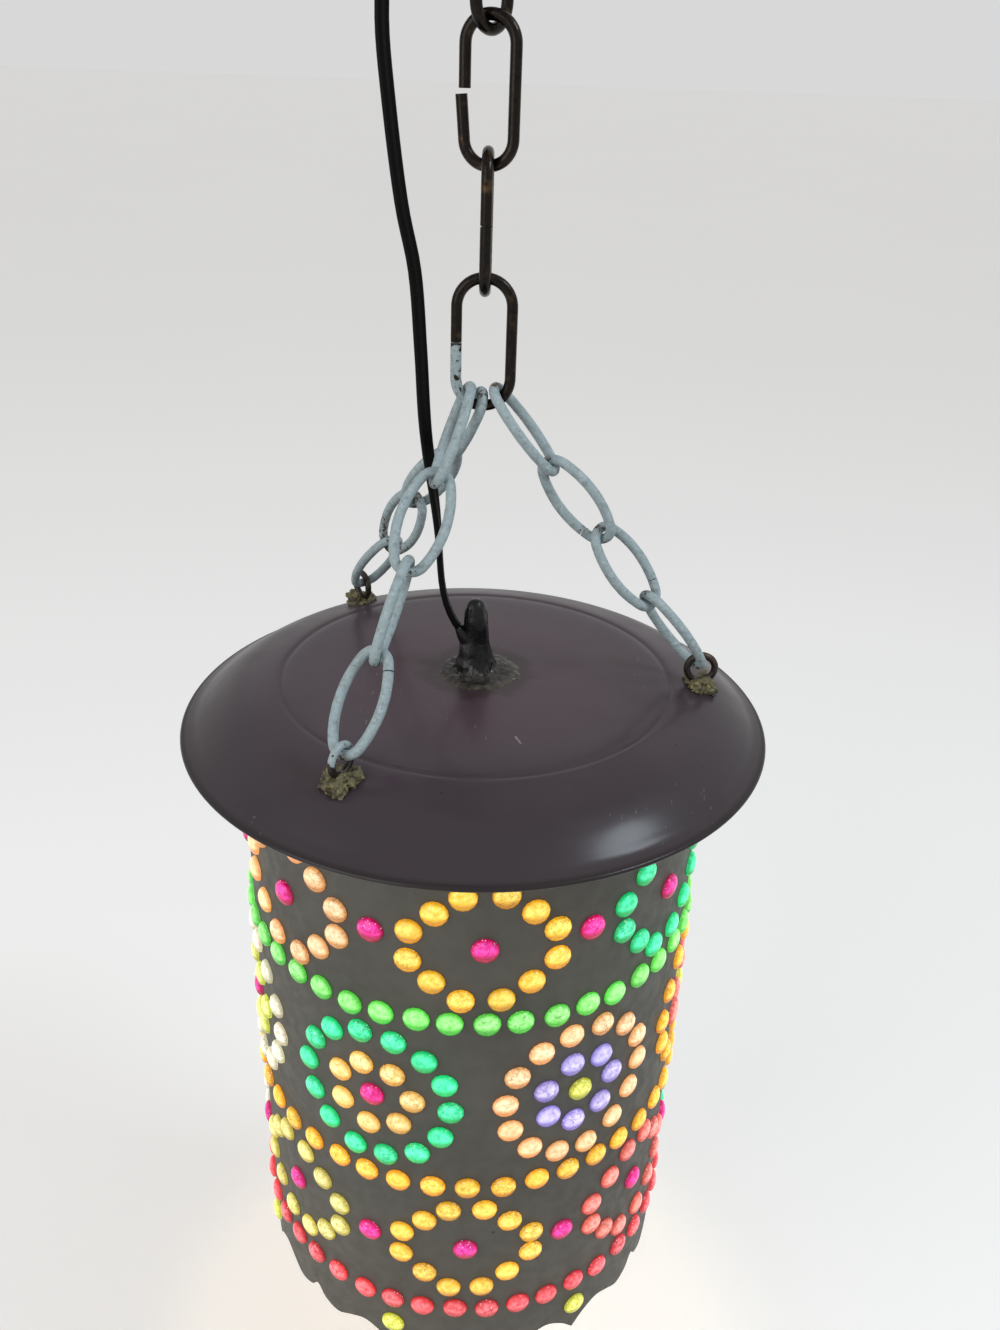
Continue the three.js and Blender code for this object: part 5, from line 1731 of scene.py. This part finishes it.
def insert_places():
    """Each insert's angle in degrees from the front to the right, height above the rim in mm, and dye."""
    places = []
    step = 360 / EDGE_PERIODS
    to_degrees = math.degrees(1 / (settings("shade").radius / MM))

    def oval(angle, height, count, wide, tall, dye, start, pinch=0.0):
        for i in range(count):
            turn = math.radians(start + 360 * i / count)
            drawn_in = 1 - pinch * math.sin(2 * turn) ** 2
            x, z = wide * drawn_in * math.cos(turn), tall * drawn_in * math.sin(turn)
            places.append((angle + x * to_degrees, height + z, dye))

    for i in range(EDGE_PERIODS):
        for first, height, single, flowers in OVAL_BANDS:
            angle = first + step * i
            oval(angle, height, 12, 31.5, 27.5, flowers[i], 15, 0.12)
            places.append((angle, height, MAGENTA))
            places.append((angle + step / 2, single, MAGENTA))
        angle, height = ROUND_BAND[0] + step * i, ROUND_BAND[1]
        outer, inner, centre = MIDDLE_FLOWERS[i]
        oval(angle, height, 14, 34.2, 34.2, outer, -3)
        oval(angle, height, 7, 17.5, 17.5, inner, 5)
        places.append((angle, height, centre))
        places.append((TIPS[0] + step * i, TIPS[1], LIME))
    for count, height, first, dye in ROWS:
        places += [(first + 360 * i / count, height, dye) for i in range(count)]
    return places


class SWAG_OT_shade(bpy.types.Operator):
    """Roll the sheet with its flange and wavy edge, punch its holes and set a domed insert in each"""

    bl_idname = "swag_lamp.shade"
    bl_label = "Shade and inserts"

    def execute(self, context):
        sizes = settings("shade")
        draw = random.Random(11)
        points, dyes = [], []
        for angle, height, dye in insert_places():
            angle = math.radians(angle) + draw.uniform(-1, 1) * sizes.scatter / sizes.radius
            height = height * MM + RIM + draw.uniform(-1, 1) * sizes.scatter
            points.append(Vector((sizes.radius * math.sin(angle), -sizes.radius * math.cos(angle), height)))
            shade_of = draw.uniform(0.86, 1.08)
            crazed = 1 if dye == MAGENTA else draw.choice((0.25, 0.5, 0.8, 1))
            dyes.append([min(1, c * shade_of * draw.uniform(0.97, 1.03)) for c in dye] + [crazed])
        points = self.kept_apart(points, sizes.insert + INSERT_GAP)
        self.sheet(points)
        self.inserts(points, dyes)
        return {"FINISHED"}

    def kept_apart(self, points, least):
        """Points that stand closer than an insert's width are pushed apart along the shade."""
        radius = settings("shade").radius
        flat = [Vector((math.atan2(p.x, -p.y) * radius, p.z)) for p in points]
        order = sorted(range(len(flat)), key=lambda i: flat[i].y)
        for _ in range(6):
            for place, i in enumerate(order):
                for j in order[place + 1 :]:
                    if flat[j].y - flat[i].y > 2 * least:
                        break
                    gap = flat[j] - flat[i]
                    if 0 < gap.length < least:
                        push = gap.normalized() * (least - gap.length) * 0.51
                        flat[i] -= push
                        flat[j] += push
        return [Vector((radius * math.sin(a / radius), -radius * math.cos(a / radius), z)) for a, z in flat]

    def sheet(self, points):
        """The rolled sheet, with a turned-in flange above and a wave below, punched at each point."""
        sizes = settings("shade")
        outer, inner = sizes.radius / MM, (sizes.radius - sizes.sheet) / MM
        thick = sizes.sheet / MM
        bend = SHADE_TOP - OUTER_BEND
        top = [(inner, bend - thick)]
        for degrees in (30, 60, 90):
            a = math.radians(degrees)
            top.append((inner - INNER_BEND * (1 - math.cos(a)), bend + INNER_BEND * math.sin(a)))
        flange = outer - FLANGE_REACH
        top += [(flange, SHADE_TOP - thick + FLANGE_RISE), (flange, SHADE_TOP + FLANGE_RISE)]
        for degrees in (90, 67.5, 45, 22.5, 0):
            a = math.radians(degrees)
            top.append((outer - OUTER_BEND * (1 - math.cos(a)), bend + OUTER_BEND * math.sin(a)))
        half = [(part, depth / EDGE_SCALE) for part, depth in EDGE_SHAPE]
        mirrored = [(1 - part, depth) for part, depth in reversed(half[:-1])]
        rings = []
        for i in range(EDGE_PERIODS):
            for part, depth in curved(half + mirrored, 4)[:-1]:
                angle = math.radians(EDGE_TIP_ANGLE) + (i + part) * 2 * math.pi / EDGE_PERIODS
                section = [(inner, -depth * EDGE_SCALE), *top, (outer, -depth * EDGE_SCALE)]
                rings.append([over_rim(r * math.cos(angle), r * math.sin(angle), z) for r, z in section])
        blank = linked("blank", mesh_of("blank", *loft(rings, round_again=True)))
        places = linked("places", mesh_of("places", points, []))
        values = {"Places": places, "Hole": sizes.hole, "Reach": 12 * MM, "Material": finish_named("shade")}
        mesh = grown(blank, punched_tree, values, "punched_shade")
        bpy.data.objects.remove(places)
        stand_for(show("punched_shade", mesh, "shade", 38), "shade_paint", "shade")

    def inserts(self, points, dyes):
        sizes = settings("shade")
        mesh = bpy.data.meshes.new("insert_places")
        mesh.from_pydata(points, [], [])
        layer = mesh.attributes.new("dye", "FLOAT_COLOR", "POINT")
        layer.data.foreach_set("color", [c for dye in dyes for c in dye])
        places = linked("insert_places", mesh)
        rim, barrel, dome = sizes.insert / 2 / MM, sizes.hole / 2 / MM - 0.1, sizes.dome / MM
        profile = [(0, -1.9), (barrel, -1.9), (barrel, 0.06), (rim, 0.08), (rim * 0.985, dome * 0.22)]
        for degrees in (26, 50, 72):
            a = math.radians(degrees)
            profile.append((rim * math.cos(a), dome * (0.16 + 0.84 * math.sin(a))))
        one = smoothed(mesh_of("one_insert", *turned([*profile, (0, dome)], 14, height=0)), 50)
        half = sizes.insert / 2
        paint_attribute(one, "edge", lambda co: math.hypot(co.x, co.y) / half if co.z > 0 else 1.0)
        pattern = linked("one_insert", one)
        values = {"Insert": pattern, "Turn": 2 * math.pi, "Seed": 4, "Material": finish_named("insert")}
        made = grown(places, inserts_tree, values, "domed_inserts")
        bpy.data.objects.remove(pattern)
        piece = show("domed_inserts", made, "insert", 50)
        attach(piece, NODES["shade"]["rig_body"])


# The socket, its switch and the bulb

SKIRT_IN, SKIRT_OUT = 16.45, 17.15
SHELL_IN, SHELL_OUT = 15.45, 16.15
BULB_FACE = [
    (12.6, -41.2),
    (12.9, -45.9),
    (15, -53.9),
    (19.6, -64.9),
    (25.2, -76.9),
    (29, -86.9),
    (30, -95.4),
    (28.9, -103.9),
    (25.4, -112.4),
    (19.4, -119.5),
    (10.8, -123.9),
    (0, -125.2),
]
KNOB_START = 18.15 * MM
KNOB_BELOW_RIM = 10.5 * MM
KNOB_HALF_WIDTH = 6 * MM
KNOB_HALF_THICKNESS = 2.7 * MM
SHAFT_RADIUS = 1.6 * MM


class SWAG_OT_socket(bpy.types.Operator):
    """Make the brass socket, its liner, the turn-knob switch and the bulb"""

    bl_idname = "swag_lamp.socket"
    bl_label = "Socket and bulb"

    def execute(self, context):
        top = [(SKIRT_IN, -5), (SKIRT_OUT + 0.25, -5.2), (SKIRT_OUT + 0.3, -4.6), (SKIRT_OUT, -4.2)]
        top += curved([(SKIRT_OUT, 0), (15.95, 3.6), (13.1, 7), (9.6, 9.8)], 6)
        top += [(7.9, 10.2), (7.6, 10.9), (7.6, 13), (5.35, 13), (5.35, 9.4)]
        top += curved([(9.2, 9), (12.65, 6.2), (15.35, 3.2), (SKIRT_IN, 0)], 4)
        self.turned_piece("socket_dome", top, "brass", "brass", "socket_cap", ring=True)
        shell = [(SHELL_IN, -42), (SHELL_OUT, -42)]
        for bead in (-38.5, -34.5, -30.5):
            shell += [(SHELL_OUT, bead - 0.9), (SHELL_OUT - 0.3, bead), (SHELL_OUT, bead + 0.9)]
        shell += [(SHELL_OUT, -0.6), (SHELL_IN, -0.6)]
        self.turned_piece("socket_sleeve", shell, "brass", "brass", "socket_shell", ring=True)
        liner = [(14.45, -43.5), (15.15, -43.5), (15.15, -1.6), (14.45, -1.6)]
        self.turned_piece("socket_card", liner, "fibre", "fibre_liner", "socket_liner", ring=True)
        screw = [(13.4, -38), (13.85, -38)]
        for i in range(5):
            screw += [(13.85, -36.6 + 3.6 * i), (13.6, -35.2 + 3.6 * i), (13.85, -33.8 + 3.6 * i)]
        screw = [p for p in screw if p[1] < -19]
        screw += [(13.85, -18.3), (13.4, -18.3)]
        self.turned_piece("thread_sleeve", screw, "brass", "brass", "screw_shell", ring=True)
        finish_node("socket_body", "phenolic")
        self.knob()
        self.bulb()
        return {"FINISHED"}

    def turned_piece(self, name, profile, finish_name, slot, node, ring=False):
        piece = show(name, mesh_of(name, *turned(profile, 64, ring)), finish_name, 35)
        return stand_for(piece, slot, node)

    def knob(self):
        """A flat fluted knob on a round shaft."""
        low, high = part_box("switch_knob")
        middle = RIM - KNOB_BELOW_RIM
        places = [(KNOB_START + along * MM, size) for along, size in ((0, 0.7), (0.6, 0.92), (1.6, 1))]
        places += [(high.x - back * MM, size) for back, size in ((1.4, 0.97), (0.4, 0.88), (0, 0.62))]
        rings = []
        for x, size in places:
            ring = []
            for angle in once_round(72):
                grown_by = size * (1 - 0.035 * (0.5 + 0.5 * math.cos(angle * 18)))
                y = KNOB_HALF_WIDTH * grown_by * math.cos(angle)
                ring.append(Vector((x, y, middle + KNOB_HALF_THICKNESS * grown_by * math.sin(angle))))
            rings.append(ring)
        shaft = []
        for x in (low.x, KNOB_START + 1 * MM):
            turns = [(SHAFT_RADIUS * math.cos(a), SHAFT_RADIUS * math.sin(a)) for a in once_round(20)]
            shaft.append([Vector((x, y, middle + z)) for y, z in turns])
        mesh = mesh_of("turn_knob", *joined(loft(rings), loft(shaft)))
        stand_for(show("turn_knob", mesh, "phenolic", 40), "phenolic", "switch_knob")

    def bulb(self):
        """A threaded brass base and a frosted pear-shaped glass."""
        base = [(0, -40.9), (13.1, -40.9), (13.1, -39.9)]
        for i in range(28):
            up = i * 16.3 / 27
            base.append((12.7 + 0.4 * math.cos(2 * math.pi * up / 3.6), up - 39.4))
        base += [(12.3, -22.6), (10.6, -21), (6.4, -19.6), (4.8, -19.5)]
        base += [(4.4, -18.6), (3.2, -18.3), (0, -18.3)]
        self.turned_piece("bulb_thread", base, "brass", "brass", "bulb_base")
        profile = [(0, BULB_FACE[0][1]), *[(max(0, r), z) for r, z in curved(BULB_FACE, 5)]]
        self.turned_piece("bulb_globe", profile, "glass", "bulb_glass", "bulb_glass")


# The add-on

GROUPS = {
    "shade": ShadeSizes,
    "cap": CapSizes,
    "chain": ChainSizes,
    "cord": CordSizes,
    "bulb": BulbSizes,
    "stage": StageSizes,
}
OPERATORS = (
    SWAG_OT_camera,
    SWAG_OT_cord,
    SWAG_OT_stage,
    SWAG_OT_hook,
    SWAG_OT_chain,
    SWAG_OT_legs,
    SWAG_OT_eyes,
    SWAG_OT_cap,
    SWAG_OT_entry,
    SWAG_OT_shade,
    SWAG_OT_socket,
)


class SWAG_PT_panel(bpy.types.Panel):
    """The lamp's pieces and their sizes"""

    bl_idname = "SWAG_PT_panel"
    bl_label = "Swag lamp"
    bl_space_type = "VIEW_3D"
    bl_region_type = "UI"
    bl_category = "Swag lamp"

    def draw(self, context):
        for operator in OPERATORS:
            self.layout.operator(operator.bl_idname)
        for name, group in GROUPS.items():
            box = self.layout.box()
            box.label(text=name.title())
            for label in group.__annotations__:
                box.prop(settings(name), label)


def register():
    for group in GROUPS.values():
        bpy.utils.register_class(group)
    for name, group in GROUPS.items():
        setattr(bpy.types.Scene, "swag_lamp_" + name, PointerProperty(type=group))
    for operator in OPERATORS:
        bpy.utils.register_class(operator)
    bpy.utils.register_class(SWAG_PT_panel)


def unregister():
    bpy.utils.unregister_class(SWAG_PT_panel)
    for operator in reversed(OPERATORS):
        bpy.utils.unregister_class(operator)
    for name, group in GROUPS.items():
        delattr(bpy.types.Scene, "swag_lamp_" + name)
        bpy.utils.unregister_class(group)


def main():
    """Builds every piece in order."""
    register()
    for operator in OPERATORS:
        group, name = operator.bl_idname.split(".")
        getattr(getattr(bpy.ops, group), name)()


if __name__ == "__main__":
    main()
